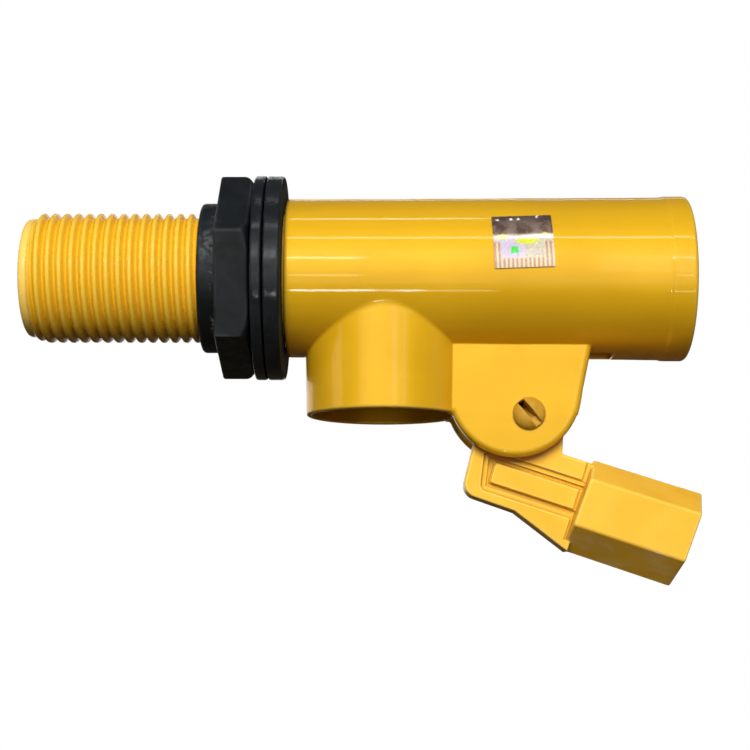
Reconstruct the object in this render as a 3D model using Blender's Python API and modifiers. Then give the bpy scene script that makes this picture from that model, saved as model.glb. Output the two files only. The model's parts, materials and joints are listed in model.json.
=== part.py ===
"""A half-inch piston float valve for a water tank, modelled at rest with its lever drooping.

The valve's axis is X. The inlet thread points to -X, the barrel's open end to +X, and the
outlet to -Z. The origin is on the axis, in the plane where the tank's wall is clamped
between the two rubber washers.
"""

import math

import bmesh
import bpy
from mathutils import Matrix, Vector

MM = 0.001
GAP = 0.3 * MM  # between two pieces that touch

# Inlet nipple, with a parallel G 1/2 thread
THREAD_MAJOR_R = 10.4775 * MM
THREAD_ROOT_R = 9.45 * MM
THREAD_PITCH = 1.814 * MM
THREAD_CREST_W = 0.3 * MM
THREAD_ROOT_W = 1.24 * MM
THREAD_START_X = -36.9 * MM
THREAD_STEPS = 24
NIPPLE_END_X = -38.4 * MM
NIPPLE_TIP_R = 9.6 * MM
NIPPLE_TIP_X = -37.4 * MM
NIPPLE_BORE_R = 7.5 * MM
SPIGOT_R = 10.4 * MM
SPIGOT_START_X = -0.6 * MM
SPIGOT_END_X = 5.1 * MM

# Lock nut
NUT_LEFT_X = -10.4 * MM
NUT_HEX_X = -7.45 * MM
NUT_RIGHT_X = -2.15 * MM
NUT_COLLAR_R = 11.975 * MM
NUT_FLATS = 28.3 * MM
NUT_TURN = math.radians(45)  # of a corner, about +X from +Y
NUT_CHAMFER_X = 0.8 * MM
NUT_CHAMFER_R = 1.0 * MM
NUT_THREAD_PLAY = 0.26 * MM

# Rubber washers, one on each side of the wall's plane
WASHER_R = 16.42 * MM
WASHER_HOLE_R = 10.8 * MM
WASHER_EDGE = 0.35 * MM
OUTER_WASHER_X = (-1.85 * MM, -0.15 * MM)
INNER_WASHER_X = (0.15 * MM, 2.8 * MM)

# Barrel
BARREL_X = (3.1 * MM, 66.6 * MM)
BARREL_R = (12.68 * MM, 13.02 * MM)  # at its two ends: the mould's draft
BARREL_EDGE = 0.5 * MM
END_BAND_LENGTH = 4.0 * MM
END_BAND_STEP = 0.16 * MM
BORE_R = 10.5 * MM
BORE_CHAMFER = 0.4 * MM
SOCKET_R = 10.8 * MM
SHOULDER_X = (7.4 * MM, 8.4 * MM)
SHOULDER_R = 8.6 * MM
SLOT_X = (34.0 * MM, 54.8 * MM)
SLOT_HALF = 2.9 * MM

# Outlet branch
OUTLET_X = 18.55 * MM
OUTLET_TOP_R = 12.65 * MM  # along X
OUTLET_MOUTH_R = 12.15 * MM
OUTLET_OVAL = 0.89  # of its depth along Y to its width
OUTLET_MOUTH_Z = -22.3 * MM
OUTLET_TOP_Z = -2.0 * MM
OUTLET_BORE_R = 9.8 * MM
OUTLET_LIP = 0.4 * MM

# Ears, which hold the pivot pin
EAR_INNER_Y = 3.0 * MM
EAR_THICKNESS = 2.7 * MM
EAR_BEVEL = 0.5 * MM
EAR_ARC_CENTRE = (38.9 * MM, -18.8 * MM)
EAR_ARC_R = 10.4 * MM
EAR_ARC_END = 351  # degrees from +X towards +Z
EAR_ROOT_X = 26.8 * MM
EAR_ROOT_Z = -9.5 * MM
EAR_NIB = (28.45 * MM, -22.55 * MM)
EAR_NIB_TOP_Z = -21.0 * MM
EAR_RIGHT_X = 51.15 * MM
EAR_RIGHT_Z = -11.3 * MM

# Lever: its own axes start at the pivot, x along the rod and z up the finger
PIVOT = Vector((41.03 * MM, 0.0, -22.5 * MM))
DROOP = math.radians(18.06)
PIVOT_HOLE_R = 2.3 * MM
PLATE_HALF = 2.6 * MM
BOSS_R = 7.0 * MM
FINGER_REACH = 15.6 * MM
FINGER_TIP_R = 2.8 * MM
FINGER_HALF = 2.2 * MM
WEB_TOP_Z = -3.95 * MM
WEB_LEFT_X = -6.2 * MM
WEB_BOTTOM_Z = -14.72 * MM
WEB_CORNER_R = 2.6 * MM
WEB_KINK_X = 3.3 * MM
WEB_END_X = 12.1 * MM
WEB_END_Z = -18.0 * MM
RECESS_DEPTH = 1.0 * MM
RECESS_X = (-4.15 * MM, 11.0 * MM)
RECESS_Z = (-13.3 * MM, -7.0 * MM)
RECESS_CORNER_R = 1.2 * MM
BAR_X = (-2.4 * MM, 10.4 * MM)
BAR_Z = (-11.7 * MM, -8.57 * MM)
BAR_CORNER_R = 0.4 * MM
ROD_SOCKET_X = (11.72 * MM, 29.56 * MM)
ROD_SOCKET_Z = -10.57 * MM
ROD_SOCKET_R = (7.55 * MM, 7.82 * MM)  # to its corners, at its two ends
ROD_SOCKET_LEAN = 0.053  # of its end faces, whose tops lie further out
ROD_BORE_R = 3.4 * MM
ROD_BORE_DEPTH = 16.0 * MM

# Pivot pin
PIN_R = 2.0 * MM
PIN_SNAP_R = 2.6 * MM
PIN_SNAP_LENGTH = 1.4 * MM
PIN_HEAD_R = 3.2 * MM
PIN_HEAD_LENGTH = 1.4 * MM
PIN_SLOT_W = 1.1 * MM
PIN_SLOT_DEPTH = 7.0 * MM
PIN_SLOT_TURN = math.radians(52)

# Nozzle seat
NOZZLE_FLANGE_R = 10.4 * MM
NOZZLE_RIM_X = 11.0 * MM
NOZZLE_R = 4.5 * MM
NOZZLE_RIM_R = 3.5 * MM
ORIFICE_R = 2.6 * MM
NOZZLE_TAIL_X = 2.5 * MM
NOZZLE_TAIL_R = (6.0 * MM, 7.2 * MM)

# Piston and its seal: its travel follows the lever at a constant ratio
PISTON_PER_RADIAN = 14.24 * MM
SEAT_LIFT = PISTON_PER_RADIAN * DROOP + 0.1 * MM
DISC_FACE_X = NOZZLE_RIM_X + SEAT_LIFT
DISC_BOSS_R = 4.7 * MM
DISC_R = 6.3 * MM
DISC_PROUD = 0.55 * MM
DISC_FLANGE = 2.0 * MM
CAP_R = 8.2 * MM
CAP_WALL = 1.0 * MM
CAP_LENGTH = 8.3 * MM
CAP_HOLE_R = 5.0 * MM
NOSE_R = 6.3 * MM
GUIDE_R = 10.2 * MM
GUIDE_EDGE = 0.4 * MM
FRONT_GUIDE_X = (31.0 * MM, 34.8 * MM)
WAIST_R = 7.5 * MM
REAR_GUIDE_X = (39.4 * MM, 58.0 * MM)
REAR_CUP_X = 51.5 * MM
REAR_CUP_R = (2.6 * MM, 8.5 * MM)
REAR_RIB_W = 1.4 * MM
POCKET_X = 45.71 * MM
POCKET_HALF_X = 3.3 * MM
POCKET_HALF_Y = 3.0 * MM
POCKET_TOP_Z = -3.6 * MM

# Label on the barrel's near side
LABEL_X = (34.9 * MM, 44.55 * MM)
LABEL_Z = (-0.9 * MM, 7.6 * MM)
LABEL_R = 13.05 * MM
LABEL_THICKNESS = 0.15 * MM

ALONG_X = Matrix(((0, 0, 1, 0), (1, 0, 0, 0), (0, 1, 0, 0), (0, 0, 0, 1)))
ALONG_Y = Matrix.Rotation(math.radians(-90), 4, "X")
ALONG_Z = Matrix.Identity(4)
FACING_Y = Matrix.Rotation(math.radians(90), 4, "X")


def clear_scene():
    for obj in list(bpy.data.objects):
        bpy.data.objects.remove(obj, do_unlink=True)


def new_collection(name):
    made = bpy.data.collections.new(name)
    bpy.context.scene.collection.children.link(made)
    return made


def new_material(name, colour, roughness):
    made = bpy.data.materials.new(name)
    made.use_nodes = True
    shader = made.node_tree.nodes["Principled BSDF"]
    shader.inputs["Base Color"].default_value = (*colour, 1.0)
    shader.inputs["Roughness"].default_value = roughness
    shader.inputs["Metallic"].default_value = 0.0
    return made


def add_object(name, mesh, where, location=(0, 0, 0), parent=None):
    made = bpy.data.objects.new(name, mesh)
    made.location = location
    made.parent = parent
    where.objects.link(made)
    return made


def add_part(name, mesh, colour, roughness, location=(0, 0, 0), parent=None):
    made = add_object(name, mesh, parts, location, parent)
    mesh.materials.append(new_material(name, colour, roughness))
    mesh.shade_smooth()
    mesh.set_sharp_from_angle(angle=math.radians(35))
    return made


def add_tool(name, mesh, location=(0, 0, 0), parent=None):
    made = add_object(name, mesh, cutters, location, parent)
    made.hide_render = True
    made.display_type = "WIRE"
    return made


def combine(target, tool, operation):
    modifier = target.modifiers.new(f"{operation.lower()} {tool.name}", "BOOLEAN")
    modifier.operation = operation
    modifier.solver = "EXACT"
    modifier.object = tool


def cut(target, *tools):
    for tool in tools:
        combine(target, tool, "DIFFERENCE")


def join(target, *tools):
    for tool in tools:
        combine(target, tool, "UNION")


def bevel(obj, width, segments=2, angle=30):
    modifier = obj.modifiers.new("edges", "BEVEL")
    modifier.width = width
    modifier.segments = segments
    modifier.limit_method = "ANGLE"
    modifier.angle_limit = math.radians(angle)


def baked(obj):
    """The mesh that an object's modifiers or curve settings make, with the object removed."""
    bpy.context.view_layer.update()
    graph = bpy.context.evaluated_depsgraph_get()
    mesh = bpy.data.meshes.new_from_object(obj.evaluated_get(graph))
    mesh.name = obj.name
    bpy.data.objects.remove(obj, do_unlink=True)
    return mesh


def weld(mesh):
    grid = bmesh.new()
    grid.from_mesh(mesh)
    bmesh.ops.remove_doubles(grid, verts=grid.verts, dist=1e-6)
    bmesh.ops.recalc_face_normals(grid, faces=grid.faces)
    grid.to_mesh(mesh)
    grid.free()
    return mesh


def turned(name, profile, closed=False, steps=40, axis=ALONG_X):
    """A turned mesh from (radius, place along the axis) points.

    The points run down the outer side, from the far end to the near end. A closed profile
    comes back up its inner side.
    """
    mesh = bpy.data.meshes.new(name)
    edges = [(i, i + 1) for i in range(len(profile) - 1)]
    if closed:
        edges.append((len(profile) - 1, 0))
    mesh.from_pydata([(radius, 0, along) for radius, along in profile], edges, [])
    obj = add_object(name, mesh, cutters)
    screw = obj.modifiers.new("turn", "SCREW")
    screw.axis = "Z"
    screw.steps = steps
    screw.render_steps = steps
    screw.use_merge_vertices = True
    screw.merge_threshold = 1e-5
    made = weld(baked(obj))
    made.transform(axis)
    return made


def prism(name, radius, near, far, sides, axis=ALONG_X, turn=0.0, far_radius=None):
    """A straight or tapered prism from near to far, with its first corner turned by an angle."""
    grid = bmesh.new()
    bmesh.ops.create_cone(
        grid,
        cap_ends=True,
        segments=sides,
        radius1=radius,
        radius2=far_radius or radius,
        depth=far - near,
        matrix=Matrix.Translation((0, 0, (near + far) / 2)),
    )
    corner = max(grid.verts, key=lambda vertex: vertex.co.x)
    first = math.atan2(corner.co.y, corner.co.x)
    bmesh.ops.rotate(grid, verts=grid.verts, matrix=Matrix.Rotation(turn - first, 3, "Z"))
    mesh = bpy.data.meshes.new(name)
    grid.to_mesh(mesh)
    grid.free()
    mesh.transform(axis)
    return mesh


def block(name, x, y, z):
    grid = bmesh.new()
    size = Matrix.Diagonal((x[1] - x[0], y[1] - y[0], z[1] - z[0], 1))
    middle = Matrix.Translation((sum(x) / 2, sum(y) / 2, sum(z) / 2))
    bmesh.ops.create_cube(grid, size=1, matrix=middle @ size)
    mesh = bpy.data.meshes.new(name)
    grid.to_mesh(mesh)
    grid.free()
    return mesh


def outline(name, half, *loops):
    """A flat solid in the XZ plane, as thick as twice half, from loops of (x, z) points."""
    curve = bpy.data.curves.new(name, "CURVE")
    curve.dimensions = "2D"
    curve.fill_mode = "BOTH"
    curve.extrude = half
    for loop in loops:
        spline = curve.splines.new("POLY")
        spline.points.add(len(loop) - 1)
        spline.use_cyclic_u = True
        for point, (x, z) in zip(spline.points, loop):
            point.co = (x, z, 0, 1)
    mesh = weld(baked(add_object(name, curve, cutters)))
    mesh.transform(FACING_Y)
    return mesh


def arc(centre, radius, start, end, steps):
    """Points on an arc, with its angles in degrees from +X towards +Z."""
    points = []
    for i in range(steps + 1):
        angle = math.radians(start + (end - start) * i / steps)
        points.append((centre[0] + radius * math.cos(angle), centre[1] + radius * math.sin(angle)))
    return points


def rounded_box(x, z, radius, steps=3):
    corners = (
        ((x[1] - radius, z[0] + radius), -90),
        ((x[1] - radius, z[1] - radius), 0),
        ((x[0] + radius, z[1] - radius), 90),
        ((x[0] + radius, z[0] + radius), 180),
    )
    loop = []
    for centre, start in corners:
        loop += arc(centre, radius, start, start + 90, steps)
    return loop


def threaded_bar(name, play, low_x, high_x):
    """A bar about X with a right-hand thread, chamfered down to its root at both ends.

    One tooth and the root beside it are swept along the helix, and each turn meets the next.
    """
    root_r = THREAD_ROOT_R + play
    crest_r = THREAD_MAJOR_R + play
    flank = (THREAD_ROOT_W - THREAD_CREST_W) / 2
    crest_end = flank + THREAD_CREST_W + 2 * play
    first_turn = math.floor((low_x - THREAD_START_X) / THREAD_PITCH) - 1
    start = THREAD_START_X - play + first_turn * THREAD_PITCH
    tooth = [
        (root_r, 0, start),
        (crest_r, 0, start + flank),
        (crest_r, 0, start + crest_end),
        (root_r, 0, start + crest_end + flank),
        (root_r, 0, start + THREAD_PITCH),
    ]
    mesh = bpy.data.meshes.new(name)
    mesh.from_pydata(tooth, [(i, i + 1) for i in range(len(tooth) - 1)], [])
    obj = add_object(name, mesh, cutters)
    screw = obj.modifiers.new("helix", "SCREW")
    screw.axis = "Z"
    screw.steps = THREAD_STEPS
    screw.render_steps = THREAD_STEPS
    screw.screw_offset = THREAD_PITCH
    screw.iterations = math.ceil((high_x - low_x) / THREAD_PITCH) + 3
    mesh = baked(obj)
    grid = bmesh.new()
    grid.from_mesh(mesh)
    for vertex in grid.verts:
        x, y, along = vertex.co
        radius = math.hypot(x, y)
        run_out_r = root_r + max(0, min(along - low_x, high_x - along))
        scale = min(radius, run_out_r) / radius
        vertex.co = (x * scale, y * scale, min(max(along, low_x), high_x))
    bmesh.ops.remove_doubles(grid, verts=grid.verts, dist=1e-6)
    bmesh.ops.holes_fill(grid, edges=[edge for edge in grid.edges if edge.is_boundary])
    bmesh.ops.recalc_face_normals(grid, faces=grid.faces)
    grid.to_mesh(mesh)
    grid.free()
    mesh.transform(ALONG_X)
    return mesh


def make_nipple():
    edge = 0.5 * MM
    overlap = 0.12 * MM
    thread = threaded_bar("inlet_nipple", 0, NIPPLE_TIP_X, SPIGOT_START_X)
    nipple = add_part("inlet_nipple", thread, (0.83, 0.36, 0.03), 0.5)
    tip = [
        (0, NIPPLE_TIP_X + overlap),
        (NIPPLE_TIP_R, NIPPLE_TIP_X + overlap),
        (NIPPLE_TIP_R, NIPPLE_END_X + edge),
        (NIPPLE_TIP_R - edge, NIPPLE_END_X),
        (0, NIPPLE_END_X),
    ]
    spigot = [
        (0, SPIGOT_END_X),
        (SPIGOT_R - GAP, SPIGOT_END_X),
        (SPIGOT_R, SPIGOT_END_X - GAP),
        (SPIGOT_R, SPIGOT_START_X - overlap),
        (0, SPIGOT_START_X - overlap),
    ]
    join(
        nipple,
        add_tool("nipple_tip", turned("nipple_tip", tip)),
        add_tool("nipple_spigot", turned("nipple_spigot", spigot)),
    )
    bore = prism("nipple_bore", NIPPLE_BORE_R, NIPPLE_END_X - edge, SPIGOT_END_X + edge, 32)
    cut(nipple, add_tool("nipple_bore", bore))


def make_nut():
    sides = 6
    corner_r = NUT_FLATS / 2 / math.cos(math.pi / sides)
    past = 0.5 * MM
    hexagon = prism("lock_nut", corner_r, NUT_HEX_X - past, NUT_RIGHT_X + past, sides, turn=NUT_TURN)
    nut = add_part("lock_nut", hexagon, (0.02, 0.02, 0.022), 0.55)
    chamfered = [
        (0, NUT_RIGHT_X),
        (corner_r - NUT_CHAMFER_R, NUT_RIGHT_X),
        (corner_r + past, NUT_RIGHT_X - NUT_CHAMFER_X * (1 + past / NUT_CHAMFER_R)),
        (corner_r + past, NUT_HEX_X),
        (0, NUT_HEX_X),
    ]
    combine(nut, add_tool("nut_chamfer", turned("nut_chamfer", chamfered)), "INTERSECT")
    edge = 0.5 * MM
    collar = [
        (0, NUT_HEX_X + past),
        (NUT_COLLAR_R, NUT_HEX_X + past),
        (NUT_COLLAR_R, NUT_LEFT_X + edge),
        (NUT_COLLAR_R - 0.3 * edge, NUT_LEFT_X + 0.3 * edge),
        (NUT_COLLAR_R - edge, NUT_LEFT_X),
        (0, NUT_LEFT_X),
    ]
    join(nut, add_tool("nut_collar", turned("nut_collar", collar)))
    past = 1.0 * MM
    thread = threaded_bar("nut_thread", NUT_THREAD_PLAY, NUT_LEFT_X - past, NUT_RIGHT_X + past)
    cut(nut, add_tool("nut_thread", thread))


def make_washer(name, x, rounded_side):
    """A flat rubber ring with one outer edge rounded: side 1 is +X and side -1 is -X."""
    left, right = x
    left_edge = WASHER_EDGE * (2 if rounded_side < 0 else 1)
    right_edge = WASHER_EDGE * (2 if rounded_side > 0 else 1)
    profile = [
        (WASHER_R - right_edge, right - left),
        (WASHER_R, right - left - right_edge),
        (WASHER_R, left_edge),
        (WASHER_R - left_edge, 0),
        (WASHER_HOLE_R, 0),
        (WASHER_HOLE_R, right - left),
    ]
    add_part(name, turned(name, profile, closed=True), (0.015, 0.015, 0.017), 0.6, location=(left, 0, 0))


def barrel_body():
    left, right = BARREL_X
    edge = BARREL_EDGE
    band_r = BARREL_R[1] + END_BAND_STEP
    profile = [
        (0, right),
        (band_r - edge, right),
        (band_r - 0.3 * edge, right - 0.3 * edge),
        (band_r, right - edge),
        (band_r, right - END_BAND_LENGTH),
        (BARREL_R[1], right - END_BAND_LENGTH - END_BAND_STEP),
        (BARREL_R[0], left + edge),
        (BARREL_R[0] - 0.3 * edge, left + 0.3 * edge),
        (BARREL_R[0] - edge, left),
        (0, left),
    ]
    return turned("barrel", profile, steps=56)


def barrel_bore():
    past = 1.0 * MM
    profile = [
        (0, BARREL_X[1] + past),
        (BORE_R + BORE_CHAMFER + past, BARREL_X[1] + past),
        (BORE_R, BARREL_X[1] - BORE_CHAMFER),
        (BORE_R, SHOULDER_X[1]),
        (SHOULDER_R, SHOULDER_X[1]),
        (SHOULDER_R, SHOULDER_X[0]),
        (SOCKET_R, SHOULDER_X[0]),
        (SOCKET_R, BARREL_X[0] - past),
        (0, BARREL_X[0] - past),
    ]
    return turned("barrel_bore", profile, steps=48)


def outlet_branch():
    profile = [
        (0, OUTLET_TOP_Z),
        (OUTLET_TOP_R, OUTLET_TOP_Z),
        (OUTLET_MOUTH_R, OUTLET_MOUTH_Z + OUTLET_LIP),
        (OUTLET_MOUTH_R - 0.3 * OUTLET_LIP, OUTLET_MOUTH_Z + 0.3 * OUTLET_LIP),
        (OUTLET_MOUTH_R - OUTLET_LIP, OUTLET_MOUTH_Z),
        (0, OUTLET_MOUTH_Z),
    ]
    branch = turned("outlet_branch", profile, steps=44, axis=ALONG_Z)
    branch.transform(Matrix.Diagonal((1, OUTLET_OVAL, 1, 1)))
    return branch


def ear_outline():
    start = 180 + math.degrees(math.asin((EAR_ARC_CENTRE[1] - EAR_NIB[1]) / EAR_ARC_R))
    loop = [
        (EAR_ROOT_X, EAR_ROOT_Z),
        (EAR_ROOT_X, EAR_NIB_TOP_Z),
        (EAR_NIB[0], EAR_NIB_TOP_Z),
        EAR_NIB,
    ]
    loop += arc(EAR_ARC_CENTRE, EAR_ARC_R, start, EAR_ARC_END, 14)
    loop += [(EAR_RIGHT_X, EAR_RIGHT_Z), (EAR_RIGHT_X, EAR_ROOT_Z)]
    return loop


def make_barrel():
    barrel = add_part("barrel", barrel_body(), (0.85, 0.42, 0.01), 0.25)
    join(barrel, add_tool("outlet_branch", outlet_branch(), location=(OUTLET_X, 0, 0)))
    middle = EAR_INNER_Y + EAR_THICKNESS / 2
    for name, side in (("near_ear", -1), ("far_ear", 1)):
        ear = add_tool(name, outline(name, EAR_THICKNESS / 2, ear_outline()), location=(0, side * middle, 0))
        bevel(ear, EAR_BEVEL, segments=1, angle=50)
        join(barrel, ear)
    past = 2.0 * MM
    outlet_bore = prism("outlet_bore", OUTLET_BORE_R, OUTLET_MOUTH_Z - past, OUTLET_TOP_Z, 40, ALONG_Z)
    outer_y = EAR_INNER_Y + EAR_THICKNESS + past
    pivot_hole = prism("pivot_hole", PIVOT_HOLE_R, -outer_y, outer_y, 20, ALONG_Y)
    slot = block("slot", SLOT_X, (-SLOT_HALF, SLOT_HALF), (-BARREL_R[1] - past, -BORE_R / 2))
    cut(
        barrel,
        add_tool("barrel_bore", barrel_bore()),
        add_tool("outlet_bore", outlet_bore, location=(OUTLET_X, 0, 0)),
        add_tool("slot", slot),
        add_tool("pivot_hole", pivot_hole, location=PIVOT),
    )


def lever_outline():
    """The elbow from the finger's tip, down past the boss, to the web that carries the socket."""
    tip_start = math.degrees(math.acos(FINGER_HALF / FINGER_TIP_R))
    boss_start = math.degrees(math.acos(FINGER_HALF / BOSS_R))
    corner = (WEB_LEFT_X + WEB_CORNER_R, WEB_BOTTOM_Z + WEB_CORNER_R)
    inner_r = 0.8 * MM
    loop = arc((0, FINGER_REACH), FINGER_TIP_R, 180 + tip_start, -tip_start, 9)
    loop += arc((0, 0), BOSS_R, boss_start, 0, 6)
    loop += arc((BOSS_R + inner_r, WEB_TOP_Z + inner_r), inner_r, 180, 270, 3)
    loop += [(WEB_END_X, WEB_TOP_Z), (WEB_END_X, WEB_END_Z), (WEB_KINK_X, WEB_BOTTOM_Z)]
    loop += arc(corner, WEB_CORNER_R, 270, 180, 5)
    loop += arc((0, 0), BOSS_R, 185, 180 - boss_start, 6)
    return loop


def make_lever(pivot):
    plate = outline("float_lever", PLATE_HALF, lever_outline())
    lever = add_part("float_lever", plate, (0.87, 0.5, 0.02), 0.45, parent=pivot)
    recess_y = PLATE_HALF - RECESS_DEPTH + PLATE_HALF
    recess = rounded_box(RECESS_X, RECESS_Z, RECESS_CORNER_R)
    bar = rounded_box(BAR_X, BAR_Z, BAR_CORNER_R, steps=2)
    for name, side in (("near_recess", -1), ("far_recess", 1)):
        mesh = outline(name, PLATE_HALF, recess, bar)
        cut(lever, add_tool(name, mesh, location=(0, side * recess_y, 0), parent=pivot))
    near_r, far_r = ROD_SOCKET_R
    upright = math.radians(90)
    socket = prism("rod_socket", near_r, *ROD_SOCKET_X, 6, turn=upright, far_radius=far_r)
    lean = Matrix.Identity(4)
    lean[0][2] = ROD_SOCKET_LEAN
    socket.transform(lean)
    centre = (0, 0, ROD_SOCKET_Z)
    socket = add_tool("rod_socket", socket, location=centre, parent=pivot)
    bevel(socket, 0.3 * MM, segments=1)
    join(lever, socket)
    past = 1.0 * MM
    bore = prism("rod_bore", ROD_BORE_R, ROD_SOCKET_X[1] - ROD_BORE_DEPTH, ROD_SOCKET_X[1] + past, 24)
    hole = prism("lever_hole", PIVOT_HOLE_R, -2 * PLATE_HALF, 2 * PLATE_HALF, 20, ALONG_Y)
    cut(
        lever,
        add_tool("rod_bore", bore, location=centre, parent=pivot),
        add_tool("lever_hole", hole, parent=pivot),
    )


def make_pin(pivot):
    outer_y = EAR_INNER_Y + EAR_THICKNESS + GAP
    snap_end = -outer_y - PIN_SNAP_LENGTH
    head_end = outer_y + PIN_HEAD_LENGTH
    edge = 0.35 * MM
    profile = [
        (0, head_end),
        (PIN_HEAD_R - edge, head_end),
        (PIN_HEAD_R, head_end - edge),
        (PIN_HEAD_R, outer_y),
        (PIN_R, outer_y),
        (PIN_R, -outer_y),
        (PIN_SNAP_R, -outer_y),
        (PIN_SNAP_R, -outer_y - 0.35 * PIN_SNAP_LENGTH),
        (0.8 * PIN_SNAP_R, -outer_y - 0.75 * PIN_SNAP_LENGTH),
        (0.45 * PIN_SNAP_R, snap_end),
        (0, snap_end),
    ]
    mesh = turned("pivot_pin", profile, steps=24, axis=ALONG_Y)
    pin = add_part("pivot_pin", mesh, (0.87, 0.5, 0.02), 0.4, parent=pivot)
    past = 1.0 * MM
    split = block(
        "pin_split",
        (-PIN_HEAD_R, PIN_HEAD_R),
        (snap_end - past, snap_end + PIN_SLOT_DEPTH),
        (-PIN_SLOT_W / 2, PIN_SLOT_W / 2),
    )
    tool = add_tool("pin_split", split, parent=pivot)
    tool.rotation_euler = (0, PIN_SLOT_TURN - DROOP, 0)
    cut(pin, tool)


def make_nozzle():
    flange_right = SHOULDER_X[0] - GAP
    flange_left = SPIGOT_END_X + GAP
    profile = [
        (NOZZLE_RIM_R, NOZZLE_RIM_X),
        (NOZZLE_R, NOZZLE_RIM_X - (NOZZLE_R - NOZZLE_RIM_R)),
        (NOZZLE_R, flange_right),
        (NOZZLE_FLANGE_R, flange_right),
        (NOZZLE_FLANGE_R, flange_left),
        (NOZZLE_TAIL_R[1], flange_left),
        (NOZZLE_TAIL_R[1], NOZZLE_TAIL_X),
        (NOZZLE_TAIL_R[0], NOZZLE_TAIL_X),
        (NOZZLE_TAIL_R[0], flange_left),
        (ORIFICE_R, flange_right),
        (ORIFICE_R, NOZZLE_RIM_X),
    ]
    add_part("nozzle_seat", turned("nozzle_seat", profile, closed=True), (0.8, 0.8, 0.76), 0.4)


def make_disc_and_cap():
    cap_x = DISC_FACE_X + DISC_PROUD
    flange_x = cap_x + CAP_WALL + GAP
    disc = [
        (0, flange_x + DISC_FLANGE),
        (DISC_R, flange_x + DISC_FLANGE),
        (DISC_R, flange_x),
        (DISC_BOSS_R, flange_x),
        (DISC_BOSS_R, DISC_FACE_X),
        (0, DISC_FACE_X),
    ]
    add_part("seat_disc", turned("seat_disc", disc, steps=32), (0.02, 0.02, 0.02), 0.6)
    cap_end = cap_x + CAP_LENGTH
    inner_r = DISC_R + GAP
    cap = [
        (CAP_R - GUIDE_EDGE, cap_end),
        (CAP_R, cap_end - GUIDE_EDGE),
        (CAP_R, cap_x + GUIDE_EDGE),
        (CAP_R - GUIDE_EDGE, cap_x),
        (CAP_HOLE_R, cap_x),
        (CAP_HOLE_R, cap_x + CAP_WALL),
        (inner_r, cap_x + CAP_WALL),
        (inner_r, cap_end),
    ]
    add_part("piston_cap", turned("piston_cap", cap, closed=True, steps=32), (0.8, 0.8, 0.76), 0.4)
    return flange_x + DISC_FLANGE + GAP


def make_piston(nose_x):
    front, rear = FRONT_GUIDE_X, REAR_GUIDE_X
    edge = GUIDE_EDGE
    profile = [
        (0, rear[1] - 1.0 * MM),
        (REAR_CUP_R[0], rear[1] - 1.0 * MM),
        (REAR_CUP_R[0], REAR_CUP_X),
        (REAR_CUP_R[1] - edge / 2, REAR_CUP_X),
        (REAR_CUP_R[1], rear[1]),
        (GUIDE_R - edge, rear[1]),
        (GUIDE_R, rear[1] - edge),
        (GUIDE_R, rear[0] + edge),
        (GUIDE_R - edge, rear[0]),
        (WAIST_R, rear[0]),
        (WAIST_R, front[1]),
        (GUIDE_R - edge, front[1]),
        (GUIDE_R, front[1] - edge),
        (GUIDE_R, front[0] + edge),
        (GUIDE_R - edge, front[0]),
        (NOSE_R, front[0] - 1.5 * MM),
        (NOSE_R, nose_x + edge),
        (NOSE_R - edge, nose_x),
        (0, nose_x),
    ]
    piston = add_part("piston", turned("piston", profile, steps=36), (0.8, 0.8, 0.76), 0.4)
    rib_x = (REAR_CUP_X - edge, rear[1] - 0.5 * MM)
    reach = (REAR_CUP_R[1] + GUIDE_R) / 2
    half = REAR_RIB_W / 2
    join(
        piston,
        add_tool("flat_rib", block("flat_rib", rib_x, (-reach, reach), (-half, half))),
        add_tool("upright_rib", block("upright_rib", rib_x, (-half, half), (-reach, reach))),
    )
    pocket = block(
        "pocket",
        (POCKET_X - POCKET_HALF_X, POCKET_X + POCKET_HALF_X),
        (-POCKET_HALF_Y, POCKET_HALF_Y),
        (-GUIDE_R - 1.0 * MM, POCKET_TOP_Z),
    )
    cut(piston, add_tool("pocket", pocket))


def make_label():
    """A thin sheet bent round the barrel's near side."""
    grid = bmesh.new()
    bmesh.ops.create_grid(grid, x_segments=2, y_segments=8, size=0.5)
    low, high = (math.asin(z / LABEL_R) for z in LABEL_Z)
    for vertex in grid.verts:
        turn = low + (high - low) * (vertex.co.y + 0.5)
        x = LABEL_X[0] + (LABEL_X[1] - LABEL_X[0]) * (vertex.co.x + 0.5)
        vertex.co = (x, -LABEL_R * math.cos(turn), LABEL_R * math.sin(turn))
    bmesh.ops.recalc_face_normals(grid, faces=grid.faces)
    mesh = bpy.data.meshes.new("hologram_label")
    grid.to_mesh(mesh)
    grid.free()
    label = add_part("hologram_label", mesh, (0.55, 0.5, 0.58), 0.3)
    sheet = label.modifiers.new("sheet", "SOLIDIFY")
    sheet.thickness = LABEL_THICKNESS
    sheet.offset = 1.0


def main():
    pivot = add_object("lever_pivot", None, parts, location=PIVOT)
    pivot.rotation_euler = (0, DROOP, 0)
    make_nipple()
    make_nut()
    make_washer("outer_washer", OUTER_WASHER_X, -1)
    make_washer("inner_washer", INNER_WASHER_X, 1)
    make_barrel()
    make_lever(pivot)
    make_pin(pivot)
    make_nozzle()
    make_piston(make_disc_and_cap())
    make_label()


clear_scene()
parts = new_collection("float_valve")
cutters = new_collection("cutters")
main()
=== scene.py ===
"""The looks of a piston float valve for a water tank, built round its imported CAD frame.

Each piece is a distance function of x, y and z in millimetres, negative inside the piece. A
surface net turns it into a mesh, whose points are then settled on the exact surface. Rounded
edges and fillets come from smooth minima and maxima of simpler distances.
"""

import json
import math

import bpy
import numpy as np
from mathutils import Matrix, Vector


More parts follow.
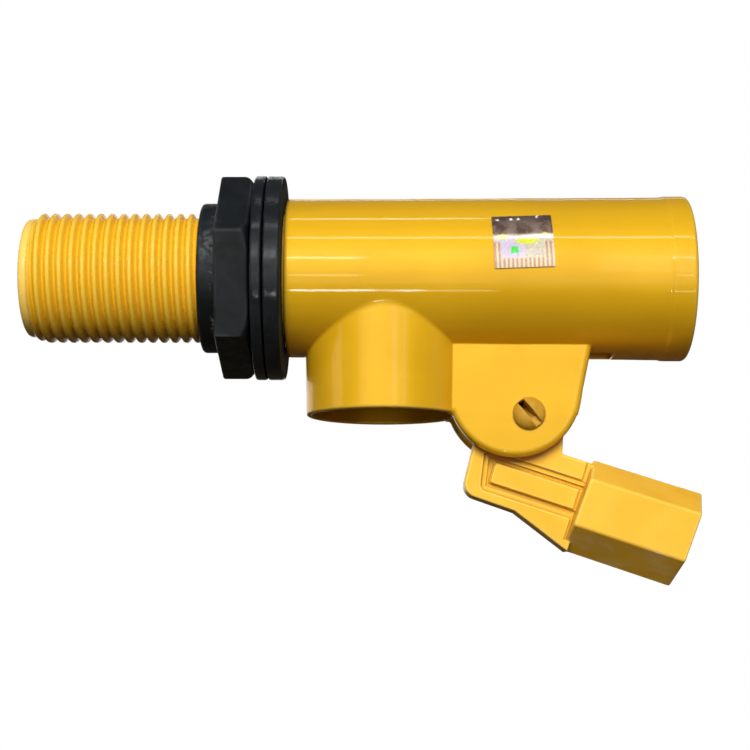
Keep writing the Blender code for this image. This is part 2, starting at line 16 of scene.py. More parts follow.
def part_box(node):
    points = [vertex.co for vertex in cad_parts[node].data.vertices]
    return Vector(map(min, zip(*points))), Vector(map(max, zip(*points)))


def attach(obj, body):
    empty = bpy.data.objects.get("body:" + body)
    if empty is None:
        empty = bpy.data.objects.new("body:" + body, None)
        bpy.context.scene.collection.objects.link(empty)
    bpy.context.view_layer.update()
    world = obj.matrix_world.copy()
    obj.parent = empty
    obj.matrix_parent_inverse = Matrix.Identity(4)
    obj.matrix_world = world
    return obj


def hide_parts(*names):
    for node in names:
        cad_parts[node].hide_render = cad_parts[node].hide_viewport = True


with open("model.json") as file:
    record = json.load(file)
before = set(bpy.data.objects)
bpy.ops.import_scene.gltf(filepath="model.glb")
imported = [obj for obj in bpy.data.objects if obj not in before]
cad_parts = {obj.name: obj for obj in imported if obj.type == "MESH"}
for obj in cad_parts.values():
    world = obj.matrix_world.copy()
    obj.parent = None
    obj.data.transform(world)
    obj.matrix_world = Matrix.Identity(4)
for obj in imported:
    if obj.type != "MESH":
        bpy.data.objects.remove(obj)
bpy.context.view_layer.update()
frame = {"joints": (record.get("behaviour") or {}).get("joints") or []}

MM = 0.001


def box_mm(node):
    """Lowest and highest corner of a CAD node, in millimetres."""
    low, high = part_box(node)
    return low / MM, high / MM


# Boxes of the CAD nodes, and from here on sizes and places in millimetres
BARREL_BOX = box_mm("barrel")
NIPPLE_BOX = box_mm("inlet_nipple")
NUT_BOX = box_mm("lock_nut")
OUTER_WASHER_BOX = box_mm("outer_washer")
INNER_WASHER_BOX = box_mm("inner_washer")
PIN_BOX = box_mm("pivot_pin")
NOZZLE_BOX = box_mm("nozzle_seat")
DISC_BOX = box_mm("seat_disc")
CAP_BOX = box_mm("piston_cap")
PISTON_BOX = box_mm("piston")
LABEL_BOX = box_mm("hologram_label")

# Inlet nipple and its thread
THREAD_CREST_R = 10.45
THREAD_VALLEY_R = 9.5
THREAD_PITCH = 1.814
THREAD_TOOTH_X = -36.28  # the middle of a tooth, at the angle of +Y
THREAD_X = (NIPPLE_BOX[0].x + 1.3, -0.4)
THREAD_LEAD_IN = 0.8  # rise of its first ridge along X
NIPPLE_CORE_R = 9.5
NIPPLE_BORE_R = 7.5
PARTING_LINE_Z = 1.3
PARTING_LINE_HEIGHT = 0.05
PARTING_LINE_WIDTH = 0.1
SPIGOT_R = 10.4
SPIGOT_X = -0.6

# Lock nut and washers
NUT_HEX_X = -7.45
NUT_COLLAR_R = 11.975
NUT_FLATS = 28.3
NUT_TURN = math.radians(45)
NUT_CONE_R = NUT_FLATS / 2 * 1.075
NUT_CONE_SLOPE = 1.1
NUT_PLAY = 0.3
WASHER_R = OUTER_WASHER_BOX[1].z
WASHER_HOLE_R = 10.8

# Barrel, outlet and ears
BARREL_R = (12.68, 13.02)
END_BAND = 4.2
END_BAND_STEP = 0.15
BARREL_BOTTOM_Z = BARREL_BOX[0].z
BORE_R = 10.5
BORE_FLARE = 0.5
BORE_FLARE_DEPTH = 1.0
SOCKET_R = 10.8
SHOULDER_X = (7.4, 8.4)
SHOULDER_R = 8.6
SLOT_X = (34.0, 54.8)
SLOT_HALF = 2.9
SLOT_TOP_Z = -6.0
OUTLET_X = 18.55
OUTLET_R = (12.65, 12.15)
OUTLET_OVAL = 0.89
OUTLET_TOP_Z = -2.0
OUTLET_MOUTH_Z = -22.3
OUTLET_BORE_R = 9.8
MOUTH_WALL = 0.95
MOUTH_TOP_Z = -17.0
EAR_Y = (3.0, 5.7)
EAR_CENTRE = (38.9, -18.8)
EAR_R = 10.4
EAR_WEB = [(27.0, -9), (27.0, -21.3), (28.5, -22.55), (48.7, -22.55), (51.15, -11.3), (51.3, -9)]

# Lever, in its own axes: x along the rod and z up the finger
PIVOT = Vector(frame["joints"][0]["pos_m"]) / MM
DROOP = math.radians(18.06)
PIVOT_HOLE_R = 2.3
PLATE_HALF = 2.6
BOSS_R = 6.4
FINGER_REACH = 15.6
FINGER_TIP_R = 2.8
FINGER_HALF = 2.2
ROD_SOCKET_X = (11.72, 29.56)
ROD_SOCKET_Z = -10.57
ROD_SOCKET_R = (7.52, 7.71)
ROD_SOCKET_LEAN = 0.053
ROD_BORE_R = 3.3
ROD_BORE_DEPTH = 16
ROD_THREAD_PITCH = 1.25
ROD_THREAD_HEIGHT = 0.16
RECESS_DEPTH = 0.95
LEDGE_DEPTH = 0.5
LEDGE_WIDTH = 0.75
FOOT_WIDTH = 0.15
BAR_START_X = -2.45
BAR_Z = (-11.75, -8.55)
STRIP_X = (11.1, 13.5)
STRIP_Z = (-16.7, -4.1)
STRIP_DEPTH = 0.35
LEVER_REACH = ((-8, -7.5, -19), (31, 7.5, 19))
LEVER_PLACE = Matrix.Translation(PIVOT * MM) @ Matrix.Rotation(DROOP, 4, "Y")

# Pivot pin, in axes from its own middle: domes are flattened balls, placed from the pin's ends
PIN_Y = (PIN_BOX[0].y, PIN_BOX[1].y)
PIN_R = 2.0
DOME_R = 2.62
DOME_CENTRE = 1.75
DOME_DEPTH = 1.45
DOME_FLATNESS = 1.35
HEAD_R = 2.98
HEAD_CENTRE = 1.9
HEAD_DEPTH = 1.42
HEAD_FLATNESS = (0.92, 1.55)
SPLIT_TURN = math.radians(52)
SPLIT_HALF = 0.52
PIN_REACH = ((-3.6, PIN_Y[0], -3.6), (3.6, PIN_Y[1], 3.6))
PIN_PLACE = Matrix.Translation(PIVOT * MM)

# Nozzle seat
FLANGE_R = 10.4
FLANGE_X = (5.4, 7.1)
TAIL_R = 7.2
SPOUT_R = 4.5
SPOUT_TIP_R = 3.6
JET_R = 2.6
FUNNEL_WIDTH = 3.4

# Seat disc and the cap that holds it
DISC_R = 6.3
DISC_FLANGE = 2
DISC_BOSS_R = 4.7
DENT_R = (2.6, 4.5)
DENT_DEPTH = 0.12
CAP_R = 8.2
CAP_HOLE_R = 5.0
CAP_INSIDE_R = 6.6
CAP_FACE = 1
CAP_RIB = 0.22

# Piston
PISTON_R = 10.2
NOSE_R = 6.3
NOSE_END_X = 32
FLARE_X = (29.0, 33)
FLARE_SLOPE = 1.6
FRONT_X = (31.0, 34.8)
WAIST_R = 7.5
WAIST_X = (34, 40)
REAR_X = 39.4
CUP_R = 8.5
CUP_X = 51.5
CORE_R = 2.6
SPOKE_HALF = 0.7
POCKET_X = (42.41, 49.01)
POCKET_HALF = 3.0
POCKET_TOP_Z = -3.6

# Label, a foil bent round the barrel
LABEL_R = 13.07
LABEL_THICKNESS = 0.09
LABEL_LIFT = 0.06
LABEL_TILT = math.radians(2.2)
LABEL_STEPS = (40, 36)

HEXAGON_EDGE = 0.35
SLANT = 0.7  # brings a slanted surface's distance near its true size
FLAT_ENOUGH = math.radians(9)  # between a face and the surface at its corner

# The stage, in metres
STAGE_CENTRE = (0.015, 0, -0.01)
LIGHT_DISTANCE = 1.1
FLOOR_AT = (0.015, 0, -0.12)
FLOOR_R = 0.55
FLOOR_STEPS = 96

# Camera, in millimetres from the frame's origin
CAMERA_AT = (17.885, -248.37, -54.72)
CAMERA_UP = math.radians(8.942)
CAMERA_YAW = math.radians(-0.17)
CAMERA_ROLL = math.radians(0.112)
CAMERA_LENS = 75.84


# Distances

def smooth_max(a, b, radius):
    """The larger of two distances, rounded off where they differ by less than the radius."""
    gap = np.maximum(radius - np.abs(a - b), 0)
    return np.maximum(a, b) + gap * gap / (4 * radius)


def smooth_min(a, b, radius):
    return -smooth_max(-a, -b, radius)


def between(value, low, high):
    """Distance to the slab from low to high."""
    return np.abs(value - (low + high) / 2) - (high - low) / 2


def turned(radius, along, outer, low, high, edge):
    """Distance to a disc or cylinder with rounded rims."""
    return smooth_max(radius - outer, between(along, low, high), edge)


def polygon(u, v, points):
    """Distance to a flat outline."""
    nearest = np.inf
    inside = False
    for (u0, v0), (u1, v1) in zip(points, points[1:] + points[:1]):
        du, dv = u1 - u0, v1 - v0
        along = np.clip(((u - u0) * du + (v - v0) * dv) / (du * du + dv * dv), 0, 1)
        nearest = np.minimum(nearest, np.hypot(u - u0 - along * du, v - v0 - along * dv))
        if dv:
            crossed = ((v0 > v) != (v1 > v)) & (u < u0 + (v - v0) * du / dv)
            inside = inside ^ crossed
    return np.where(inside, -nearest, nearest)


def hexagon(u, v, across):
    """Distance to a regular hexagon about the origin, with two corners on the v axis."""
    u, v = np.abs(u), np.abs(v)
    slanted = u * math.cos(math.radians(60)) + v * math.sin(math.radians(60))
    return smooth_max(u, slanted, HEXAGON_EDGE) - across / 2


def thread(x, y, z, play=0.0):
    """Distance to a right-hand thread's rounded ridges, from its crests to its valleys."""
    radius = np.hypot(y, z)
    turn = np.arctan2(z, y) / (2 * math.pi)
    phase = (x - THREAD_TOOTH_X) / THREAD_PITCH - turn
    wave = np.cos(2 * math.pi * phase)
    # fuller than a sine on its flanks, and a little flattened on top
    height = 0.5 + 0.5 * wave + 0.06 * (1 - wave * wave)
    height -= 0.10 * np.clip(wave * 2 - 1, 0, 1) ** 2
    surface_r = THREAD_VALLEY_R + (THREAD_CREST_R - THREAD_VALLEY_R) * height
    return (radius - surface_r - play) * SLANT


# Meshing

def gradient(distance, points, step=0.01):
    """The distance's slope along each axis."""
    slopes = []
    for axis in np.eye(3) * step:
        ahead = distance(*(points + axis).T)
        behind = distance(*(points - axis).T)
        slopes.append((ahead - behind) / (2 * step))
    return np.stack(slopes, 1)


def settled(distance, points, rounds=4):
    """Points moved onto the surface, along the distance's slope."""
    for _ in range(rounds):
        slope = gradient(distance, points)
        steepness = np.maximum((slope * slope).sum(1), 0.05)
        points = points - slope * (distance(*points.T) / steepness)[:, None]
    return points


def net(distance, low, high, cell):
    """Points and quads of a surface net over a grid of cells."""
    axes = [np.arange(a - 1.5 * cell, b + 2.5 * cell, cell) for a, b in zip(low, high)]
    inside = distance(*np.meshgrid(*axes, indexing="ij", sparse=True)) < 0
    shape = np.array(inside.shape) - 1
    count = np.zeros(shape, int)
    for corner in np.ndindex(2, 2, 2):
        count += inside[tuple(slice(c, c + n) for c, n in zip(corner, shape))]
    active = (count > 0) & (count < 8)
    number = np.full(shape, -1)
    number[active] = np.arange(active.sum())
    start = np.array([axis[0] for axis in axes])
    points = start + (np.argwhere(active) + 0.5) * cell
    quads = []
    for axis in range(3):
        near = inside[tuple(slice(0, -1) if i == axis else slice(None) for i in range(3))]
        far = inside[tuple(slice(1, None) if i == axis else slice(None) for i in range(3))]
        place = np.argwhere(near != far)
        second, third = np.roll(np.eye(3, dtype=int), -axis - 1, axis=0)[:2]
        ring = (place - second - third, place - third, place, place - second)
        quad = np.stack([number[tuple(corner.T)] for corner in ring], 1)
        entering = far[tuple(place.T)]
        quad[entering] = quad[entering][:, ::-1]
        quads.append(quad)
    return points, np.concatenate(quads)


def thinned(mesh, keep):
    """The mesh with about that share of its triangles."""
    obj = bpy.data.objects.new(mesh.name, mesh)
    bpy.context.scene.collection.objects.link(obj)
    obj.modifiers.new("fewer faces", "DECIMATE").ratio = keep
    graph = bpy.context.evaluated_depsgraph_get()
    made = bpy.data.meshes.new_from_object(obj.evaluated_get(graph))
    bpy.data.objects.remove(obj)
    return made


def unit(vectors):
    return vectors / (np.linalg.norm(vectors, axis=1, keepdims=True) + 1e-9)


def sharpness(distance, points, step=0.12):
    """How sharply the surface bends there, per millimetre: positive on edges, negative in corners."""
    bend = -6 * distance(*points.T)
    for axis in np.eye(3) * step:
        bend += distance(*(points + axis).T) + distance(*(points - axis).T)
    return bend / step**2


def finish_corners(distance, mesh, points):
    """Gives the mesh's corners the surface's own normals, and its sharpness as "edge".

    Both are read a little inside a large face, so that a face beside a rounded edge stays flat.
    """
    vertex = np.empty(len(mesh.loops), np.int32)
    mesh.loops.foreach_get("vertex_index", vertex)
    corners = np.empty(len(mesh.polygons), np.int32)
    mesh.polygons.foreach_get("loop_total", corners)
    face = np.repeat(np.arange(len(corners)), corners)
    centre, facing = np.empty((2, len(corners) * 3), np.float32)
    mesh.polygons.foreach_get("center", centre)
    mesh.polygons.foreach_get("normal", facing)
    inner = points[vertex] + 0.25 * (centre.reshape(-1, 3)[face] / MM - points[vertex])
    normals = unit(gradient(distance, points))[vertex]
    bent = (normals * facing.reshape(-1, 3)[face]).sum(1) < math.cos(FLAT_ENOUGH)
    normals[bent] = unit(gradient(distance, inner[bent]))
    mesh.normals_split_custom_set(normals.tolist())
    edge = mesh.attributes.new("edge", "FLOAT", "CORNER")
    edge.data.foreach_set("value", sharpness(distance, inner).astype(np.float32))


def make_piece(name, distance, box, cell, keep, material, body, node, place=None):
    """A piece from its distance function, riding on a body and standing for a CAD node.

    Its net has cells of that many millimetres, and keeps that share of its triangles.
    """
    points, quads = net(distance, *box, cell)
    mesh = bpy.data.meshes.new(name)
    mesh.from_pydata(settled(distance, points).tolist(), [], quads.tolist())
    mesh = thinned(mesh, keep)
    mesh.name = name
    flat = np.empty(len(mesh.vertices) * 3, np.float32)
    mesh.vertices.foreach_get("co", flat)
    points = settled(distance, flat.reshape(-1, 3).astype(float), rounds=2)
    mesh.vertices.foreach_set("co", (points * MM).astype(np.float32).ravel())
    mesh.update()
    finish_corners(distance, mesh, points)
    if place is not None:
        mesh.transform(place)
    mesh.materials.append(material)
    piece = bpy.data.objects.new(name, mesh)
    bpy.context.scene.collection.objects.link(piece)
    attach(piece, body)
    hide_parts(node)
    return piece


# Shapes

def nipple_shape(x, y, z):
    """A threaded tube, with a plain spigot that goes in the barrel."""
    start, end = NIPPLE_BOX[0].x, NIPPLE_BOX[1].x
    radius = np.hypot(y, z)
    ridges = smooth_max(thread(x, y, z), between(x, *THREAD_X), 0.5)
    lead_in = radius - THREAD_VALLEY_R - (x - THREAD_X[0]) * THREAD_LEAD_IN
    ridges = smooth_max(ridges, lead_in, 0.3)
    parting_line = PARTING_LINE_HEIGHT * np.exp(-((z - PARTING_LINE_Z) / PARTING_LINE_WIDTH) ** 2)
    core = turned(radius - parting_line, x, NIPPLE_CORE_R, start, 0, 0.9)
    spigot = turned(radius, x, SPIGOT_R, SPIGOT_X, end, 0.4)
    solid = smooth_min(np.minimum(ridges, core), spigot, 0.2)
    return smooth_max(solid, NIPPLE_BORE_R - radius, 0.5)


def nut_shape(x, y, z):
    """A hexagon with its +X face coned, and a round collar on the other."""
    low, high = NUT_BOX
    along = y * math.cos(NUT_TURN) + z * math.sin(NUT_TURN)
    across = z * math.cos(NUT_TURN) - y * math.sin(NUT_TURN)
    radius = np.hypot(y, z)
    flats = hexagon(across, along, NUT_FLATS)
    hexed = smooth_max(flats, between(x, NUT_HEX_X, high.x), 0.5)
    cone = (radius - NUT_CONE_R + (x - high.x) * NUT_CONE_SLOPE) * SLANT
    hexed = smooth_max(hexed, cone, 0.4)
    collar = turned(radius, x, NUT_COLLAR_R, low.x, NUT_HEX_X + 1, 0.7)
    solid = smooth_min(hexed, collar, 0.35)
    return smooth_max(solid, -thread(x, y, z, NUT_PLAY), 0.3)


def washer_shape(box, left_edge, right_edge):
    """The distance function of a washer that fills a CAD box, from its two rims' roundings."""
    low_x, high_x = box[0].x, box[1].x

    def shape(x, y, z):
        radius = np.hypot(y, z)
        angle = np.arctan2(z, y)
        ripple = 0.04 * np.sin(7 * angle + low_x) + 0.03 * np.sin(17 * angle)
        rim = radius - WASHER_R + 0.06 + ripple * 0.5
        solid = smooth_max(rim, low_x - x, left_edge)
        solid = smooth_max(solid, x - high_x, right_edge)
        return smooth_max(solid, WASHER_HOLE_R - radius, 0.4)

    return shape


def barrel_radius(x):
    """Outside radius along the barrel: a slight taper, a raised end band and faint waves."""
    low, high = BARREL_BOX
    along = (x - low.x) / (high.x - low.x)
    straight = BARREL_R[0] + (BARREL_R[1] - BARREL_R[0]) * along
    band = np.clip((x - (high.x - END_BAND)) / 0.7, 0, 1)
    waves = 0.018 * np.sin(x * 0.21 + 0.6) + 0.012 * np.sin(x * 0.53)
    return straight + END_BAND_STEP * band * band * (3 - 2 * band) + waves


def outlet_tube(x, y, z):
    """Distance to the oval outside of the outlet, as if it had no end."""
    down = z / BARREL_BOTTOM_Z
    width = OUTLET_R[0] + (OUTLET_R[1] - OUTLET_R[0]) * down
    along, across = (x - OUTLET_X) / width, y / (width * OUTLET_OVAL)
    reach = np.maximum(np.hypot(along, across), 1e-6)
    slope = np.hypot(along / width, across / (width * OUTLET_OVAL)) / reach
    return (reach - 1) / np.maximum(slope, 1e-6)


def ear_plates(x, y, z):
    """Distance to the two round-ended plates that hold the lever's pin."""
    disc = np.hypot(x - EAR_CENTRE[0], z - EAR_CENTRE[1]) - EAR_R
    outline = smooth_min(disc, polygon(x, z, EAR_WEB), 0.3)
    return smooth_max(outline, between(np.abs(y), *EAR_Y), 1.1)


def barrel_hollow(x, y, z):
    """Distance to all that is cut out of the barrel: bores, outlet, lever slot and pin hole."""
    low, high = BARREL_BOX
    radius = np.hypot(y, z)
    bore = turned(radius, x, BORE_R, SHOULDER_X[1], high.x + 5, 0.2)
    flare = (radius - BORE_R - BORE_FLARE + (high.x - x)) * SLANT
    seat = turned(radius, x, SHOULDER_R, SHOULDER_X[0] - 1, SHOULDER_X[1] + 1, 0.2)
    socket = turned(radius, x, SOCKET_R, low.x - 5, SHOULDER_X[0], 0.2)
    hollow = np.minimum(np.minimum(bore, seat), socket)
    hollow = np.minimum(hollow, np.maximum(flare, high.x - BORE_FLARE_DEPTH - x))
    down = np.hypot(x - OUTLET_X, y) - OUTLET_BORE_R
    hollow = np.minimum(hollow, np.maximum(down, z - OUTLET_TOP_Z))
    mouth = np.maximum(outlet_tube(x, y, z) + MOUTH_WALL, z - MOUTH_TOP_Z)
    hollow = np.minimum(hollow, mouth)
    slot = smooth_max(between(x, *SLOT_X), np.abs(y) - SLOT_HALF, 0.5)
    hollow = np.minimum(hollow, np.maximum(slot, z - SLOT_TOP_Z))
    pivot = np.hypot(x - PIVOT.x, z - PIVOT.z) - PIVOT_HOLE_R
    return np.minimum(hollow, pivot)


def barrel_shape(x, y, z):
    low, high = BARREL_BOX
    radius = np.hypot(y, z)
    body = smooth_max(radius - barrel_radius(x), between(x, low.x, high.x), 0.7)
    outlet = smooth_max(outlet_tube(x, y, z), between(z, OUTLET_MOUTH_Z, OUTLET_TOP_Z), 0.5)
    solid = smooth_min(body, outlet, 0.35)
    solid = smooth_min(solid, ear_plates(x, y, z), 0.15)
    return smooth_max(solid, -barrel_hollow(x, y, z), 0.3)


def lever_outline(x, z):
    """Distance to the plate's outline: finger, boss round the pin, and web to the rod socket."""
    finger = np.maximum(np.abs(x) - FINGER_HALF, between(z, 0, FINGER_REACH))
    tip = np.hypot(x, z - FINGER_REACH) - FINGER_TIP_R
    boss = np.hypot(x, z) - BOSS_R
    corner = 2.2
    web = polygon(
        x,
        z,
        [
            (-6.75 + corner, -5),
            (-6.25 + corner, -14.7 + corner),
            (3.0, -14.85 + corner),
            (13.5, -18.6 + corner),
            (13.5, -3.95 - corner),
            (0, -3.95 - corner),
        ],
    )
    shoulder = polygon(x, z, [(0, 0.5), (6.35, 0.5), (6.4, -1.4), (7.0, -3.9), (7.0, -5), (0, -5)])
    limb = smooth_min(finger, tip, 1.0)
    web = smooth_max(web - corner, x - ROD_SOCKET_X[0] - 0.5, 0.3)
    limb = np.minimum(smooth_min(limb, boss, 0.8), shoulder)
    return smooth_min(limb, web, 0.25)


def lever_recess(x, y, z):
    """Distance to the sunken field on each side of the web, round its raised bar."""
    corner = 1.0
    field = polygon(
        x,
        z,
        [
            (-4.5 + corner, -7 - corner),
            (-3.7 + corner, -13.25 + corner),
            (14, -13.25 + corner),
            (14, -7 - corner),
        ],
    )
    bar = smooth_max(np.maximum(BAR_START_X - x, x - 14), between(z, *BAR_Z), 0.5)
    depth = PLATE_HALF - np.abs(y)
    ledge = smooth_max(field - corner, depth - LEDGE_DEPTH, 0.3)
    floor = smooth_max(field - corner + LEDGE_WIDTH, depth - RECESS_DEPTH, 0.3)
    foot = smooth_max(bar - FOOT_WIDTH, LEDGE_DEPTH - depth, 0.2)
    sunk = np.maximum(np.minimum(ledge, floor), -np.minimum(bar, foot))
    strip = smooth_max(between(x, *STRIP_X), depth - STRIP_DEPTH, 0.3)
    return np.minimum(sunk, np.maximum(strip, between(z, *STRIP_Z)))


def rod_socket(x, y, z):
    """Distance to the hexagonal socket, which widens and whose ends lean a little."""
    start, end = ROD_SOCKET_X
    z = z - ROD_SOCKET_Z
    leaning = x - ROD_SOCKET_LEAN * z
    wider = ROD_SOCKET_R[1] - ROD_SOCKET_R[0]
    corner_r = ROD_SOCKET_R[0] + wider * (leaning - start) / (end - start)
    across = 2 * corner_r * math.cos(math.radians(30))
    return smooth_max(hexagon(y, z, across), between(leaning, start, end), 0.45)


def rod_bore(x, y, z):
    """Distance to the socket's threaded hole."""
    end = ROD_SOCKET_X[1]
    z = z - ROD_SOCKET_Z
    radius = np.hypot(y, z)
    turn = np.arctan2(z, y)
    ridge = ROD_THREAD_HEIGHT * np.cos(2 * math.pi * x / ROD_THREAD_PITCH - turn)
    mouth = 0.5 * np.clip(x - end + 1.2, 0, 1)
    return np.maximum(radius - ROD_BORE_R + ridge - mouth, end - ROD_BORE_DEPTH - x)


def lever_shape(x, y, z):
    plate = smooth_max(lever_outline(x, z), np.abs(y) - PLATE_HALF, 0.45)
    plate = smooth_max(plate, -lever_recess(x, y, z), 0.25)
    solid = smooth_min(plate, rod_socket(x, y, z), 0.3)
    solid = smooth_max(solid, -rod_bore(x, y, z), 0.3)
    return smooth_max(solid, PIVOT_HOLE_R - np.hypot(x, z), 0.3)


def pin_shape(x, y, z):
    """The pin, on the Y axis: a split dome on the near side and a round head on the far one."""
    radius = np.hypot(x, z)
    near, far = PIN_Y
    shank = turned(radius, y, PIN_R, near + 1, far - 0.5, 0.2)
    dome = np.hypot(radius, (y - near - DOME_CENTRE) * DOME_FLATNESS) - DOME_R
    dome = smooth_max(dome, y - near - DOME_DEPTH, 0.3)
    wide, deep = HEAD_FLATNESS
    head = np.hypot(radius * wide, (y - far + HEAD_CENTRE) * deep) - HEAD_R
    head = smooth_max(head, far - HEAD_DEPTH - y, 0.3)
    solid = np.minimum(np.minimum(shank, dome), head)
    across = np.abs(x * math.sin(SPLIT_TURN) + z * math.cos(SPLIT_TURN)) - SPLIT_HALF
    along = x * math.cos(SPLIT_TURN) - z * math.sin(SPLIT_TURN)
    split = np.maximum(across, y - near - np.clip(2.6 - 1.5 * along, 1.1, 7))
    return smooth_max(solid, -split, 0.3)


def nozzle_shape(x, y, z):
    """A flange against the barrel's shoulder, a tail in the nipple and a spout for the jet."""
    low, high = NOZZLE_BOX
    radius = np.hypot(y, z)
    middle = 6  # inside the flange, where the tail and the spout meet
    flange = turned(radius, x, FLANGE_R, *FLANGE_X, 0.3)
    tail = turned(radius, x, TAIL_R, low.x, middle, 0.3)
    taper = radius - SPOUT_TIP_R + (x - high.x) * 1.2
    spout = smooth_max(turned(radius, x, SPOUT_R, middle, high.x, 0.5), taper, 0.3)
    solid = smooth_min(np.minimum(flange, tail), spout, 0.6)
    funnel = radius - JET_R - np.clip((FLANGE_X[1] - x) * 2, 0, FUNNEL_WIDTH)
    return smooth_max(solid, -funnel * 0.6, 0.3)


def disc_shape(x, y, z):
    """A rubber disc whose boss is dented by the nozzle's rim."""
    low, high = DISC_BOX
    radius = np.hypot(y, z)
    boss = turned(radius, x, DISC_BOSS_R, low.x, high.x, 0.3)
    flange = turned(radius, x, DISC_R, high.x - DISC_FLANGE, high.x, 0.3)
    dent = (radius - DENT_R[0]) * (radius - DENT_R[1])
    ring = np.maximum(dent * 0.25, x - low.x - DENT_DEPTH)
    return smooth_max(np.minimum(boss, flange), -ring, 0.1)


def cap_shape(x, y, z):
    """A ribbed cup that screws on the piston's nose, open in front of the disc."""
    low, high = CAP_BOX
    radius = np.hypot(y, z)
    angle = np.arctan2(z, y)
    ribs = CAP_RIB * np.abs(np.sin(12 * angle)) * np.clip((x - low.x - 1.2) * 2, 0, 1)
    solid = turned(radius + ribs, x, CAP_R, low.x, high.x, 0.6)
    inside = turned(radius, x, CAP_INSIDE_R, low.x + CAP_FACE, high.x + 3, 0.2)
    return smooth_max(solid, -np.minimum(radius - CAP_HOLE_R, inside), 0.3)


def piston_shape(x, y, z):
    """Nose, front ring, waist and rear ring, with the finger's pocket and a spoked rear cup."""
    low, high = PISTON_BOX
    radius = np.hypot(y, z)
    nose = turned(radius, x, NOSE_R, low.x, NOSE_END_X, 0.5)
    front = turned(radius, x, PISTON_R, *FRONT_X, 0.6)
    flare = radius - NOSE_R - (x - FLARE_X[0]) * FLARE_SLOPE
    flare = np.maximum(smooth_max(flare, between(x, *FLARE_X), 0.5), radius - PISTON_R)
    waist = turned(radius, x, WAIST_R, *WAIST_X, 0.4)
    rear = turned(radius, x, PISTON_R, REAR_X, high.x, 0.6)
    solid = np.minimum(np.minimum(nose, waist), np.minimum(rear, flare))
    solid = smooth_min(solid, front, 0.4)
    cup = smooth_max(turned(radius, x, CUP_R, CUP_X, high.x + 3, 0.3), CORE_R - radius, 0.4)
    cup = smooth_max(cup, SPOKE_HALF - np.minimum(np.abs(y), np.abs(z)), 0.4)
    cup = np.minimum(cup, turned(radius, x, CUP_R, high.x - 1, high.x + 3, 0.3))
    pocket = smooth_max(between(x, *POCKET_X), np.abs(y) - POCKET_HALF, 0.6)
    pocket = np.maximum(pocket, z - POCKET_TOP_Z)
    return smooth_max(solid, -np.minimum(cup, pocket), 0.3)


# Materials

def add_node(tree, kind, inputs=None, **settings):
    made = tree.nodes.new("ShaderNode" + kind)
    for name, value in settings.items():
        setattr(made, name, value)
    for socket, value in (inputs or {}).items():
        if isinstance(value, bpy.types.NodeSocket):
            tree.links.new(value, made.inputs[socket])
        else:
            made.inputs[socket].default_value = value
    return made


def maths(tree, operation, first, second=0.0):
    return add_node(tree, "Math", {0: first, 1: second}, operation=operation).outputs[0]


def product(tree, first, *others):
    for other in others:
        first = maths(tree, "MULTIPLY", first, other)
    return first


def ranged(tree, value, low, high, to_low=0.0, to_high=1.0):
    """The value's range from low to high, stretched to another range and held at its ends."""
    inputs = {"Value": value, "From Min": low, "From Max": high, "To Min": to_low, "To Max": to_high}
    return add_node(tree, "MapRange", inputs, interpolation_type="SMOOTHSTEP").outputs[0]


def mixed(tree, share, first, second):
    """The first colour, with that share of the second."""
    made = add_node(tree, "Mix", data_type="RGBA")
    for socket, value in ((made.inputs[0], share), (made.inputs[6], first), (made.inputs[7], second)):
        if isinstance(value, bpy.types.NodeSocket):
            tree.links.new(value, socket)
        elif isinstance(value, tuple):
            socket.default_value = (*value, 1)
        else:
            socket.default_value = value
    return made.outputs[2]


def noise_at(tree, where, size, detail=3.0, stretch=(1, 1, 1), turn=(0, 0, 0), rough=0.5):
    """Cloudy noise whose features are about that many millimetres, stretched along axes."""
    inputs = {"Vector": where, "Scale": tuple(1 / s for s in stretch), "Rotation": turn}
    placed = add_node(tree, "Mapping", inputs).outputs[0]
    inputs = {"Vector": placed, "Scale": 1 / (size * MM), "Detail": detail, "Roughness": rough}
    return add_node(tree, "TexNoise", inputs).outputs[0]


def new_material(name, **sockets):
    """A material with those shader values, its nodes, its shader and the place on the object."""
    made = bpy.data.materials.new(name)
    made.use_nodes = True
    tree = made.node_tree
    shader = tree.nodes["Principled BSDF"]
    for socket, value in sockets.items():
        shader.inputs[socket.replace("_", " ")].default_value = value
    where = add_node(tree, "TexCoord").outputs["Object"]
    return made, tree, shader, where


def paint(tree, shader, colour, rough):
    tree.links.new(colour, shader.inputs["Base Color"])
    tree.links.new(rough, shader.inputs["Roughness"])


def bumped(tree, shader, height, distance, before=None):
    """Bump from a height, in millimetres at full height, on top of another bump."""
    inputs = {"Height": height, "Distance": distance * MM, "Strength": 1.0}
    if before is not None:
        inputs["Normal"] = before
    made = add_node(tree, "Bump", inputs).outputs[0]
    tree.links.new(made, shader.inputs["Normal"])
    return made


def sharpness_of(tree):
    """What finish_corners left on the mesh: positive on edges, negative in corners."""
    return add_node(tree, "Attribute", attribute_name="edge").outputs["Fac"]


def facing_of(tree):
    """Which way the surface faces, in the object's own axes."""
    return add_node(tree, "SeparateXYZ", {0: add_node(tree, "TexCoord").outputs["Normal"]}).outputs


def axis_radius(tree, where):
    """Distance from the barrel's axis, in metres, with the place along it."""
    along, y, z = add_node(tree, "SeparateXYZ", {0: where}).outputs
    square = maths(tree, "ADD", product(tree, y, y), product(tree, z, z))
    return maths(tree, "SQRT", square), along


